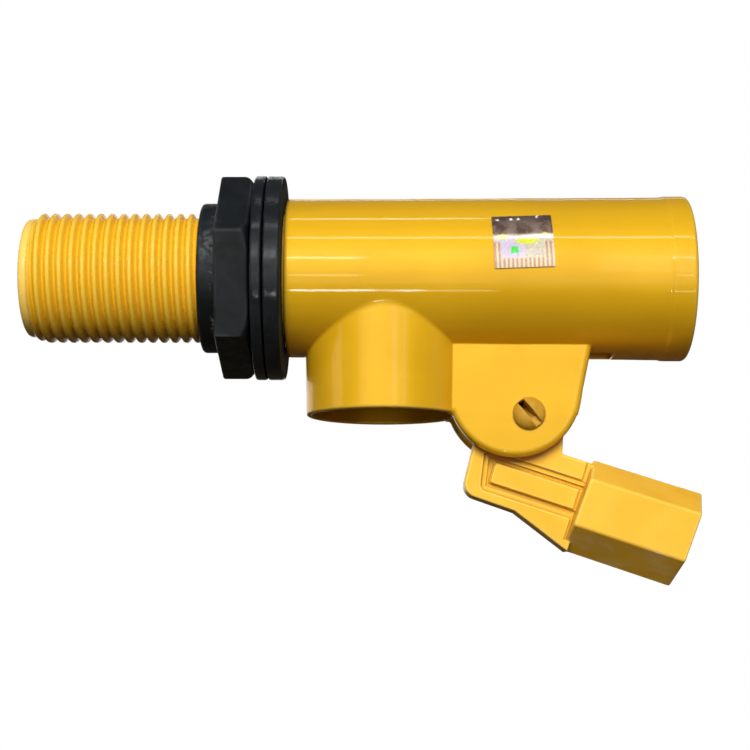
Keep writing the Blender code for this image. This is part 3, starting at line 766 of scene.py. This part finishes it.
def barrel_plastic():
    """Amber moulding: a broad, warm sheen under a thin and sharply reflecting skin."""
    made, tree, shader, where = new_material(
        "amber moulding", IOR=1.3, Metallic=0.33, Coat_Weight=0.5, Coat_Roughness=0.06,
    )
    clouds = noise_at(tree, where, 22, 3)
    flow = noise_at(tree, where, 2.2, 4, (14, 1, 1), (0, 0, 0.03))
    colour = mixed(tree, ranged(tree, clouds, 0.3, 0.7), (0.73, 0.395, 0.007), (0.80, 0.445, 0.010))
    colour = mixed(tree, ranged(tree, flow, 0.45, 0.75, 0, 0.25), colour, (0.86, 0.48, 0.015))
    # Paler on rounded edges: partly wear, partly a painted highlight where the edges catch the light.
    rubbed = ranged(tree, sharpness_of(tree), 0.5, 2.5, 0, 0.45)
    colour = mixed(tree, rubbed, colour, (0.92, 0.58, 0.08))
    lines = ranged(tree, noise_at(tree, where, 0.16, 2, (60, 1, 1), (0, 0.12, 0.1)), 0.7, 0.75)
    scratches = product(tree, lines, ranged(tree, noise_at(tree, where, 3.2, 2), 0.45, 0.65))
    colour = mixed(tree, product(tree, scratches, 0.12), colour, (0.90, 0.60, 0.12))
    haze = ranged(tree, noise_at(tree, where, 6, 4), 0.35, 0.75, 0.42, 0.5)
    paint(tree, shader, colour, maths(tree, "ADD", haze, product(tree, scratches, 0.06)))
    waves = bumped(tree, shader, noise_at(tree, where, 14, 1, (2.5, 1, 1)), 0.09)
    waves = bumped(tree, shader, noise_at(tree, where, 2.5, 2, (3, 1, 1)), 0.003, before=waves)
    bumped(tree, shader, scratches, -0.001, before=waves)
    return made


def nipple_plastic():
    """Orange-yellow moulding, with painted shade in the thread's valleys, and on its crests a painted
    highlight and rubbing.
    """
    made, tree, shader, where = new_material("orange-yellow moulding", IOR=1.48)
    radius, along = axis_radius(tree, where)
    # Darker in the thread's valleys and paler on its crests: painted shade and a painted highlight.
    height = ranged(tree, radius, THREAD_VALLEY_R * MM, THREAD_CREST_R * MM)
    colour = mixed(tree, height, (0.75, 0.41, 0.012), (0.82, 0.49, 0.036))
    clouds = noise_at(tree, where, 5, 4)
    colour = mixed(tree, ranged(tree, clouds, 0.4, 0.7, 0, 0.3), colour, (0.80, 0.42, 0.022))
    start = NIPPLE_BOX[0].x
    tip = ranged(tree, along, (start + 1.0) * MM, (start + 2.2) * MM, 1, 0)
    colour = mixed(tree, product(tree, tip, 0.8), colour, (0.90, 0.60, 0.13))
    # Pale patches on the crests: partly wear, partly a painted highlight.
    patches = ranged(tree, noise_at(tree, where, 1.2, 5), 0.5, 0.7)
    rubbed = product(tree, patches, ranged(tree, height, 0.8, 1), 0.25)
    colour = mixed(tree, rubbed, colour, (0.90, 0.58, 0.12))
    rough = ranged(tree, noise_at(tree, where, 2.5, 4), 0.3, 0.7, 0.24, 0.36)
    paint(tree, shader, colour, rough)
    grain = bumped(tree, shader, noise_at(tree, where, 0.25, 3), 0.006)
    bumped(tree, shader, noise_at(tree, where, 3, 2), 0.03, before=grain)
    return made


def nut_plastic():
    """Black moulding, paler on its edges from wear and a painted highlight, and scuffed where the
    hexagon stands on its collar.
    """
    made, tree, shader, where = new_material("black moulding", IOR=1.42)
    radius, along = axis_radius(tree, where)
    clouds = noise_at(tree, where, 6, 4)
    colour = mixed(tree, ranged(tree, clouds, 0.3, 0.7), (0.003, 0.0045, 0.005), (0.006, 0.008, 0.0095))
    near_step = maths(tree, "ABSOLUTE", maths(tree, "SUBTRACT", along, (NUT_HEX_X - 0.15) * MM))
    step = ranged(tree, near_step, 0.0003, 0.001, 1, 0)
    inner = ranged(tree, radius, (NUT_COLLAR_R + 0.3) * MM, (NUT_COLLAR_R + 0.9) * MM, 1, 0)
    crumbs = ranged(tree, noise_at(tree, where, 0.7, 5, rough=0.65), 0.54, 0.66)
    uneven = ranged(tree, noise_at(tree, where, 7, 2), 0.45, 0.6, 0.15, 1)
    scuffs = product(tree, step, inner, crumbs, uneven)
    place = tuple(value * MM for value in (NUT_HEX_X - 1.4, -NUT_COLLAR_R, 3.1))
    reach = add_node(tree, "VectorMath", {0: where, 1: place}, operation="DISTANCE")
    patch = ranged(tree, reach.outputs["Value"], 0.0005, 0.005, 1, 0)
    speckles = ranged(tree, noise_at(tree, where, 1.6, 8, rough=0.7), 0.45, 0.65)
    # Paler on edges: partly wear, partly a painted highlight.
    edge_wear_and_highlight = ranged(tree, sharpness_of(tree), 0.5, 2.5)
    edge_wear_and_highlight = product(tree, edge_wear_and_highlight, ranged(tree, clouds, 0.4, 0.6, 0.1, 0.6))
    colour = mixed(tree, product(tree, edge_wear_and_highlight, 0.4), colour, (0.07, 0.075, 0.08))
    colour = mixed(tree, product(tree, patch, speckles, 0.8), colour, (0.09, 0.10, 0.10))
    colour = mixed(tree, product(tree, scuffs, 0.5), colour, (0.33, 0.34, 0.33))
    rough = ranged(tree, noise_at(tree, where, 1.5, 4), 0.3, 0.7, 0.38, 0.58)
    paint(tree, shader, colour, rough)
    grain = bumped(tree, shader, noise_at(tree, where, 0.3, 3), 0.01)
    bumped(tree, shader, noise_at(tree, where, 4, 2), 0.06, before=grain)
    return made


def washer_rubber():
    """Black rubber with specks of dust: its rim is smooth, its flat faces are dull."""
    made, tree, shader, where = new_material("black rubber", IOR=1.36)
    clouds = noise_at(tree, where, 4, 4)
    colour = mixed(tree, ranged(tree, clouds, 0.3, 0.7), (0.007, 0.009, 0.010), (0.012, 0.014, 0.016))
    dust = ranged(tree, noise_at(tree, where, 0.35, 2), 0.71, 0.77)
    colour = mixed(tree, product(tree, dust, 0.2), colour, (0.20, 0.20, 0.20))
    smooth = ranged(tree, noise_at(tree, where, 2, 4), 0.3, 0.7, 0.15, 0.27)
    dull = ranged(tree, maths(tree, "ABSOLUTE", facing_of(tree)[0]), 0.8, 0.97, 0, 0.9)
    paint(tree, shader, colour, maths(tree, "MAXIMUM", smooth, dull))
    grain = bumped(tree, shader, noise_at(tree, where, 0.4, 2), 0.008)
    bumped(tree, shader, noise_at(tree, where, 3, 2), 0.05, before=grain)
    return made


def lever_plastic():
    """Yellow moulding: paler on its edges from wear and a painted highlight, darker in its corners and
    sunk field from grime and painted shade, and rubbed pale underneath.
    """
    made, tree, shader, where = new_material("yellow moulding", IOR=1.48)
    clouds = noise_at(tree, where, 7, 4)
    colour = mixed(tree, ranged(tree, clouds, 0.3, 0.7), (0.79, 0.415, 0.022), (0.85, 0.465, 0.034))
    edge = sharpness_of(tree)
    # Paler on edges: partly wear, partly a painted highlight.
    colour = mixed(tree, ranged(tree, edge, 0.5, 2.5, 0, 0.5), colour, (0.91, 0.62, 0.12))
    # Darker in concave corners: grime, and painted shade where the corners lie in shadow.
    corner_grime_and_shade = ranged(tree, edge, -3.0, -0.4, 0.45, 0)
    colour = mixed(tree, corner_grime_and_shade, colour, (0.30, 0.14, 0.01))
    _, sideways, upwards = facing_of(tree)
    depth = maths(tree, "ABSOLUTE", add_node(tree, "SeparateXYZ", {0: where}).outputs[1])
    # Darker on the flat floor of the sunk field: grime and painted shade.
    sunk = ranged(tree, depth, (PLATE_HALF - RECESS_DEPTH) * MM, (PLATE_HALF - 0.3) * MM, 1, 0)
    flat = ranged(tree, maths(tree, "ABSOLUTE", sideways), 0.8, 0.95)
    colour = mixed(tree, product(tree, sunk, flat, 0.9), colour, (0.60, 0.315, 0.018))
    rubbed = noise_at(tree, where, 3.5, 8, (2, 1, 1), (0, 0.3, 0), 0.7)
    rubbed = ranged(tree, rubbed, 0.48, 0.70)
    under = ranged(tree, upwards, -0.9, -0.75)
    under = product(tree, under, ranged(tree, upwards, -0.6, -0.35, 0.6, 0))
    colour = mixed(tree, product(tree, rubbed, under), colour, (0.84, 0.72, 0.52))
    rough = ranged(tree, noise_at(tree, where, 3, 4), 0.3, 0.7, 0.32, 0.5)
    paint(tree, shader, colour, rough)
    grain = bumped(tree, shader, noise_at(tree, where, 0.3, 3), 0.008)
    bumped(tree, shader, noise_at(tree, where, 3.5, 2), 0.06, before=grain)
    return made


def pin_plastic():
    made, tree, shader, where = new_material("dull yellow moulding", IOR=1.48)
    clouds = noise_at(tree, where, 2, 4)
    # Darker than the lever's yellow: the pin's own dull tone, with painted shade laid into it.
    colour = mixed(tree, ranged(tree, clouds, 0.3, 0.7), (0.44, 0.225, 0.014), (0.54, 0.29, 0.030))
    # Darker in the slot and creases: grime and painted shade.
    corner_grime_and_shade = ranged(tree, sharpness_of(tree), -3.0, -0.5, 0.8, 0)
    colour = mixed(tree, corner_grime_and_shade, colour, (0.25, 0.11, 0.01))
    paint(tree, shader, colour, ranged(tree, clouds, 0.3, 0.7, 0.34, 0.5))
    bumped(tree, shader, noise_at(tree, where, 0.5, 3), 0.02)
    return made


def inner_plastic():
    made, tree, shader, where = new_material(
        "white acetal", IOR=1.48, Subsurface_Weight=0.15, Subsurface_Scale=0.002,
    )
    clouds = noise_at(tree, where, 5, 4)
    colour = mixed(tree, ranged(tree, clouds, 0.3, 0.7), (0.74, 0.73, 0.68), (0.82, 0.81, 0.77))
    rough = ranged(tree, noise_at(tree, where, 2, 4), 0.3, 0.7, 0.24, 0.4)
    paint(tree, shader, colour, rough)
    bumped(tree, shader, noise_at(tree, where, 0.6, 3), 0.01)
    return made


def disc_rubber():
    made, tree, shader, where = new_material("seal rubber", IOR=1.5)
    clouds = noise_at(tree, where, 2, 4)
    colour = mixed(tree, ranged(tree, clouds, 0.3, 0.7), (0.010, 0.010, 0.011), (0.022, 0.022, 0.024))
    paint(tree, shader, colour, ranged(tree, clouds, 0.3, 0.7, 0.45, 0.65))
    bumped(tree, shader, noise_at(tree, where, 0.3, 3), 0.01)
    return made


def label_foil():
    """Holographic foil: a dull mauve upper half, and a lower half of rainbow patches and bars."""
    made, tree, shader, _ = new_material("holographic foil", Metallic=0.3, Coat_Weight=0.5)
    sheet = add_node(tree, "UVMap", uv_map="sheet").outputs[0]
    across, up, _ = add_node(tree, "SeparateXYZ", {0: sheet}).outputs
    crumple, shimmer, grit = (
        add_node(tree, "TexNoise", {"Vector": sheet, "Scale": scale, "Detail": detail}).outputs[0]
        for scale, detail in ((5, 4), (9, 2), (22, 3))
    )
    ragged = maths(tree, "SUBTRACT", grit, 0.5)

    def spot(place, inner, outer, stretch=1):
        """A round or wide patch with a ragged edge, and the distance from its middle."""
        inputs = {0: sheet, 1: (*place, 0)}
        offset = add_node(tree, "VectorMath", inputs, operation="SUBTRACT").outputs[0]
        inputs = {0: offset, 1: (1 / stretch, 1, 1)}
        offset = add_node(tree, "VectorMath", inputs, operation="MULTIPLY").outputs[0]
        reach = add_node(tree, "VectorMath", {0: offset}, operation="LENGTH").outputs["Value"]
        uneven = maths(tree, "ADD", reach, product(tree, ragged, 0.09))
        return ranged(tree, uneven, inner, outer, 1, 0), reach

    def rings_of(reach, rate):
        return maths(tree, "ABSOLUTE", maths(tree, "SINE", product(tree, reach, rate)))

    mauve = mixed(tree, ranged(tree, crumple, 0.38, 0.62), (0.11, 0.066, 0.048), (0.25, 0.17, 0.13))
    mauve = mixed(tree, ranged(tree, up, 0.68, 1.0, 0, 0.75), mauve, (0.045, 0.030, 0.028))
    for place in ((0.33, 0.86), (0.33, 0.66), (0.52, 0.8), (0.78, 0.74)):
        patch, reach = spot(place, 0.07, 0.11)
        mauve = mixed(tree, product(tree, patch, rings_of(reach, 95), 0.4), mauve, (0.30, 0.24, 0.2))
    hue = maths(tree, "ADD", product(tree, shimmer, 2.6), product(tree, across, 0.4))
    hue = {0: maths(tree, "FRACT", hue), 1: 0.35, 2: 0.55}
    rainbow = add_node(tree, "CombineColor", hue, mode="HSV").outputs[0]
    lilac = mixed(tree, ranged(tree, across, 0.35, 0.6), (0.66, 0.52, 0.62), (0.74, 0.64, 0.46))
    lilac = mixed(tree, 0.3, lilac, rainbow)
    scribble = maths(tree, "ADD", shimmer, product(tree, crumple, 0.5))
    scribble = ranged(tree, maths(tree, "SINE", product(tree, scribble, 60)), 0.2, 0.7)
    scribble = product(tree, scribble, ranged(tree, across, 0.48, 0.56), 0.75)
    lilac = mixed(tree, scribble, lilac, (0.34, 0.28, 0.16))
    border = maths(tree, "ADD", 0.56, product(tree, maths(tree, "SUBTRACT", crumple, 0.5), 0.3))
    lower = ranged(tree, maths(tree, "SUBTRACT", border, up), -0.05, 0.05)
    colour = mixed(tree, lower, mauve, lilac)
    middle = (0.345, 0.325)
    halo, reach = spot(middle, 0.17, 0.21)
    colour = mixed(tree, product(tree, halo, rings_of(reach, 42), 0.6), colour, (0.52, 0.40, 0.66))
    aside = maths(tree, "ABSOLUTE", maths(tree, "SUBTRACT", across, middle[0]))
    above = maths(tree, "ABSOLUTE", maths(tree, "SUBTRACT", up, middle[1]))
    square = maths(tree, "ADD", maths(tree, "MAXIMUM", aside, above), product(tree, ragged, 0.12))
    colour = mixed(tree, ranged(tree, square, 0.045, 0.075, 1, 0), colour, (0.05, 0.62, 0.08))
    for place, size, stretch, tint in (
        ((0.56, 0.49), 0.04, 3.2, (0.66, 0.72, 0.02)),
        ((0.15, 0.575), 0.03, 1.8, (0.72, 0.60, 0.08)),
        ((0.86, 0.60), 0.025, 1.2, (0.72, 0.56, 0.10)),
    ):
        colour = mixed(tree, spot(place, size, size + 0.04, stretch)[0], colour, tint)
    bars = maths(tree, "SINE", product(tree, across, 88))
    low_band = ranged(tree, up, 0.16, 0.18, 1, 0)
    low_half = ranged(tree, up, 0.46, 0.5, 1, 0)
    right_band = product(tree, ranged(tree, across, 0.82, 0.84), low_half)
    left_band = product(tree, ranged(tree, across, 0.10, 0.12, 1, 0), low_half)
    bands = maths(tree, "MAXIMUM", maths(tree, "MAXIMUM", low_band, right_band), left_band)
    stripes = product(tree, ranged(tree, bars, -0.2, 0.3), bands)
    colour = mixed(tree, bands, colour, (0.66, 0.58, 0.36))
    colour = mixed(tree, product(tree, stripes, 0.8), colour, (0.46, 0.20, 0.18))
    from_glare = maths(tree, "ABSOLUTE", maths(tree, "SUBTRACT", up, 0.57))
    glare = ranged(tree, from_glare, 0.01, 0.075, 1, 0)
    glare = product(tree, glare, ranged(tree, across, 0.3, 0.8, 0.45, 0.95))
    colour = mixed(tree, glare, colour, (0.95, 0.88, 0.72))
    # Pale spots along the top edge: painted highlights where the foil catches the light.
    for place in ((0.10, 0.92), (0.33, 0.93), (0.44, 0.93), (0.76, 0.98)):
        colour = mixed(tree, spot(place, 0.018, 0.035)[0], colour, (0.85, 0.85, 0.8))
    paint(tree, shader, colour, ranged(tree, crumple, 0.3, 0.7, 0.2, 0.36))
    wrinkles = bumped(tree, shader, crumple, 0.05)
    bumped(tree, shader, stripes, 0.01, before=wrinkles)
    return made


# The stage

def make_label(material):
    """A thin foil bent round the barrel, a little askew and lifted at one corner."""
    low, high = LABEL_BOX
    columns, rows = LABEL_STEPS
    centre = ((low.x + high.x) / 2 + 0.15, (low.z + high.z) / 2 - 0.1)
    width, height = (high.x - low.x) * 0.955, (high.z - low.z) * 1.01
    mesh = bpy.data.meshes.new("label_sheet")
    points, sheet = [], []
    for side in (0, 1):
        for row in range(rows + 1):
            for column in range(columns + 1):
                u, v = column / columns, row / rows
                along, up = (u - 0.5) * width, (v - 0.5) * height
                x = centre[0] + along * math.cos(LABEL_TILT) - up * math.sin(LABEL_TILT)
                z = centre[1] + along * math.sin(LABEL_TILT) + up * math.cos(LABEL_TILT)
                lift = LABEL_LIFT * max(0, u + v - 1.75) / 0.25
                radius = LABEL_R + side * LABEL_THICKNESS + lift
                y = -math.sqrt(radius * radius - z * z)
                points.append((x * MM, y * MM, z * MM))
                sheet.append((u, v))
    stride = columns + 1
    layer = stride * (rows + 1)
    faces = []
    for row in range(rows):
        for column in range(columns):
            a = row * stride + column
            faces.append((a + layer, a + 1 + layer, a + 1 + stride + layer, a + stride + layer))
            faces.append((a, a + stride, a + 1 + stride, a + 1))
    ring = list(range(columns))
    ring += [r * stride + columns for r in range(rows)]
    ring += [rows * stride + c for c in range(columns, 0, -1)]
    ring += [r * stride for r in range(rows, 0, -1)]
    for a, b in zip(ring, ring[1:] + ring[:1]):
        faces.append((a, b, b + layer, a + layer))
    mesh.from_pydata(points, [], faces)
    layer_uv = mesh.uv_layers.new(name="sheet")
    for loop in mesh.loops:
        layer_uv.data[loop.index].uv = sheet[loop.vertex_index]
    mesh.shade_smooth()
    mesh.set_sharp_from_angle(angle=math.radians(40))
    mesh.materials.append(material)
    piece = bpy.data.objects.new("label_sheet", mesh)
    bpy.context.scene.collection.objects.link(piece)
    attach(piece, "root")
    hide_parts("hologram_label")


def make_camera():
    camera = bpy.data.objects.new("camera", bpy.data.cameras.new("camera"))
    bpy.context.scene.collection.objects.link(camera)
    camera.location = Vector(CAMERA_AT) * MM
    yaw = Matrix.Rotation(-CAMERA_YAW, 4, "Z")
    pitch = Matrix.Rotation(math.radians(90) + CAMERA_UP, 4, "X")
    roll = Matrix.Rotation(CAMERA_ROLL, 4, "Z")
    camera.rotation_euler = (yaw @ pitch @ roll).to_euler()
    camera.data.lens = CAMERA_LENS
    camera.data.clip_start = 0.01
    bpy.context.scene.camera = camera


def make_light(name, azimuth, elevation, distance, size, power):
    """A rectangular light that faces the object, placed as seen from it: azimuth 0 is -Y."""
    light = bpy.data.lights.new(name, "AREA")
    light.shape = "RECTANGLE"
    light.size, light.size_y = size
    light.energy = power
    lamp = bpy.data.objects.new(name, light)
    bpy.context.scene.collection.objects.link(lamp)
    a, e = math.radians(azimuth), math.radians(elevation)
    away = Vector((math.sin(a) * math.cos(e), -math.cos(a) * math.cos(e), math.sin(e)))
    lamp.location = Vector(STAGE_CENTRE) + away * distance
    side = Vector((1, 0, 0))
    up = away.cross(side).normalized()
    side = up.cross(away).normalized()
    lamp.rotation_euler = Matrix((side, up, away)).transposed().to_euler()
    lamp.visible_camera = False
    return lamp


def make_tube(name, elevation, left, right, width, glow):
    """A tube light along X, from left to right in metres, seen only as a reflected line."""
    length = right - left
    power = glow * math.pi * length * width
    tube = make_light(name, 0, elevation, LIGHT_DISTANCE, (length, width), power)
    tube.location.x = (left + right) / 2
    tube.visible_diffuse = False


def make_lights():
    """Softboxes that light the object unseen, and tubes and panels seen only as reflections."""
    for name, azimuth, elevation, distance, size, power in (
        ("key softbox", -2, 23, 1.4, (0.9, 0.7), 29),
        ("back softbox", 192, 14, 1.6, (1.4, 1.0), 26),
        ("side softbox", 80, 10, 1.4, (0.5, 0.9), 1),
    ):
        make_light(name, azimuth, elevation, distance, size, power).visible_glossy = False
    for tube in (
        ("top tube", 82.5, -0.058, 0.09, 0.035, 14),
        ("high tube", 48.3, -0.60, 0.60, 0.055, 8.5),
        ("middle tube", 18, -0.60, 0.0, 0.050, 14),
        ("middle tube end", 18, 0.258, 0.45, 0.050, 6),
        ("level tube", -6.7, -0.062, -0.005, 0.035, 6.5),
        ("level tube end", -6.7, 0.258, 0.45, 0.035, 6),
        ("low tube", -28.2, -0.062, 0.02, 0.055, 30),
        ("low tube middle", -28.2, 0.02, 0.09, 0.035, 8),
        ("low tube end", -28.2, 0.258, 0.45, 0.035, 7),
    ):
        make_tube(*tube)
    for name, azimuth, elevation, size, power in (
        ("rear tube", 180, 38, (0.8, 0.03), 0.4),
        ("upright tube", 14, 10, (0.16, 0.45), 0.26),
        ("faint upright tube", 27, 10, (0.05, 0.45), 0.06),
        ("left upright tube", -67, 10, (0.3, 0.5), 0.6),
        ("right panel", 80, 5, (0.5, 0.6), 0.20),
        ("rear panel", 205, 12, (1.3, 0.7), 4.0),
        ("front panel", 0, 6, (1.3, 1.0), 2.5),
        ("wide front panel", 0, 8, (1.5, 1.45), 2.7),
    ):
        panel = make_light(name, azimuth, elevation, LIGHT_DISTANCE, size, power)
        panel.visible_diffuse = False


def make_world():
    """White behind the object, and for what it reflects a dim room, warmer and darker below."""
    world = bpy.data.worlds.new("studio")
    bpy.context.scene.world = world
    world.use_nodes = True
    tree = world.node_tree
    for node in list(tree.nodes):
        tree.nodes.remove(node)
    ray = add_node(tree, "LightPath").outputs["Is Camera Ray"]
    direction = add_node(tree, "TexCoord").outputs["Generated"]
    up = add_node(tree, "SeparateXYZ", {0: direction}).outputs[2]
    room = mixed(tree, ranged(tree, up, -0.5, 0.6), (0.062, 0.052, 0.034), (0.070, 0.070, 0.072))
    backdrop = add_node(tree, "Background", {"Color": (1, 1, 1, 1), "Strength": 1.0}).outputs[0]
    studio = add_node(tree, "Background", {"Color": room, "Strength": 1.0}).outputs[0]
    both = add_node(tree, "MixShader", {0: ray, 1: studio, 2: backdrop}).outputs[0]
    tree.links.new(both, add_node(tree, "OutputWorld").inputs[0])


def make_floor():
    """A round pale floor that fades into the backdrop at its rim."""
    mesh = bpy.data.meshes.new("floor")
    ring = []
    for step in range(FLOOR_STEPS):
        angle = 2 * math.pi * step / FLOOR_STEPS
        ring.append((FLOOR_R * math.cos(angle), FLOOR_R * math.sin(angle), 0))
    mesh.from_pydata(ring, [], [tuple(range(FLOOR_STEPS))])
    floor = bpy.data.objects.new("floor", mesh)
    bpy.context.scene.collection.objects.link(floor)
    floor.location = FLOOR_AT
    floor.visible_diffuse = False
    floor.visible_glossy = False
    made, tree, shader, where = new_material("pale floor", Roughness=0.8)
    reach = add_node(tree, "VectorMath", {0: where}, operation="LENGTH").outputs["Value"]
    grain = noise_at(tree, where, 2, 3)
    colour = mixed(tree, ranged(tree, grain, 0.3, 0.7, 0, 0.3), (0.90, 0.90, 0.90), (0.86, 0.86, 0.86))
    tree.links.new(colour, shader.inputs["Base Color"])
    tree.links.new(ranged(tree, reach, 0.22, 0.54, 1, 0), shader.inputs["Alpha"])
    mesh.materials.append(made)


bpy.context.scene.view_settings.view_transform = "Standard"

rubber = washer_rubber()
white = inner_plastic()
outer_shape = washer_shape(OUTER_WASHER_BOX, 0.45, 0.3)
inner_shape = washer_shape(INNER_WASHER_BOX, 0.3, 0.6)
make_piece(
    "barrel_shell", barrel_shape, BARREL_BOX, 0.22, 0.35,
    barrel_plastic(), "root", "barrel",
)
make_piece(
    "nipple_tube", nipple_shape, NIPPLE_BOX, 0.25, 0.6,
    nipple_plastic(), "root", "inlet_nipple",
)
make_piece(
    "nut_body", nut_shape, NUT_BOX, 0.25, 0.5,
    nut_plastic(), "lock_nut", "lock_nut",
)
make_piece(
    "washer_outer", outer_shape, OUTER_WASHER_BOX, 0.3, 0.5,
    rubber, "outer_washer", "outer_washer",
)
make_piece(
    "washer_inner", inner_shape, INNER_WASHER_BOX, 0.3, 0.5,
    rubber, "root", "inner_washer",
)
make_piece(
    "lever_arm", lever_shape, LEVER_REACH, 0.2, 0.5,
    lever_plastic(), "lever", "float_lever", LEVER_PLACE,
)
make_piece(
    "pin_body", pin_shape, PIN_REACH, 0.12, 0.5,
    pin_plastic(), "root", "pivot_pin", PIN_PLACE,
)
make_piece(
    "nozzle_body", nozzle_shape, NOZZLE_BOX, 0.25, 0.4,
    white, "root", "nozzle_seat",
)
make_piece(
    "piston_body", piston_shape, PISTON_BOX, 0.3, 0.4,
    white, "piston", "piston",
)
make_piece(
    "cap_shell", cap_shape, CAP_BOX, 0.25, 0.4,
    white, "piston", "piston_cap",
)
make_piece(
    "seal_disc", disc_shape, DISC_BOX, 0.2, 0.4,
    disc_rubber(), "piston", "seat_disc",
)
make_label(label_foil())
make_floor()
make_world()
make_lights()
make_camera()
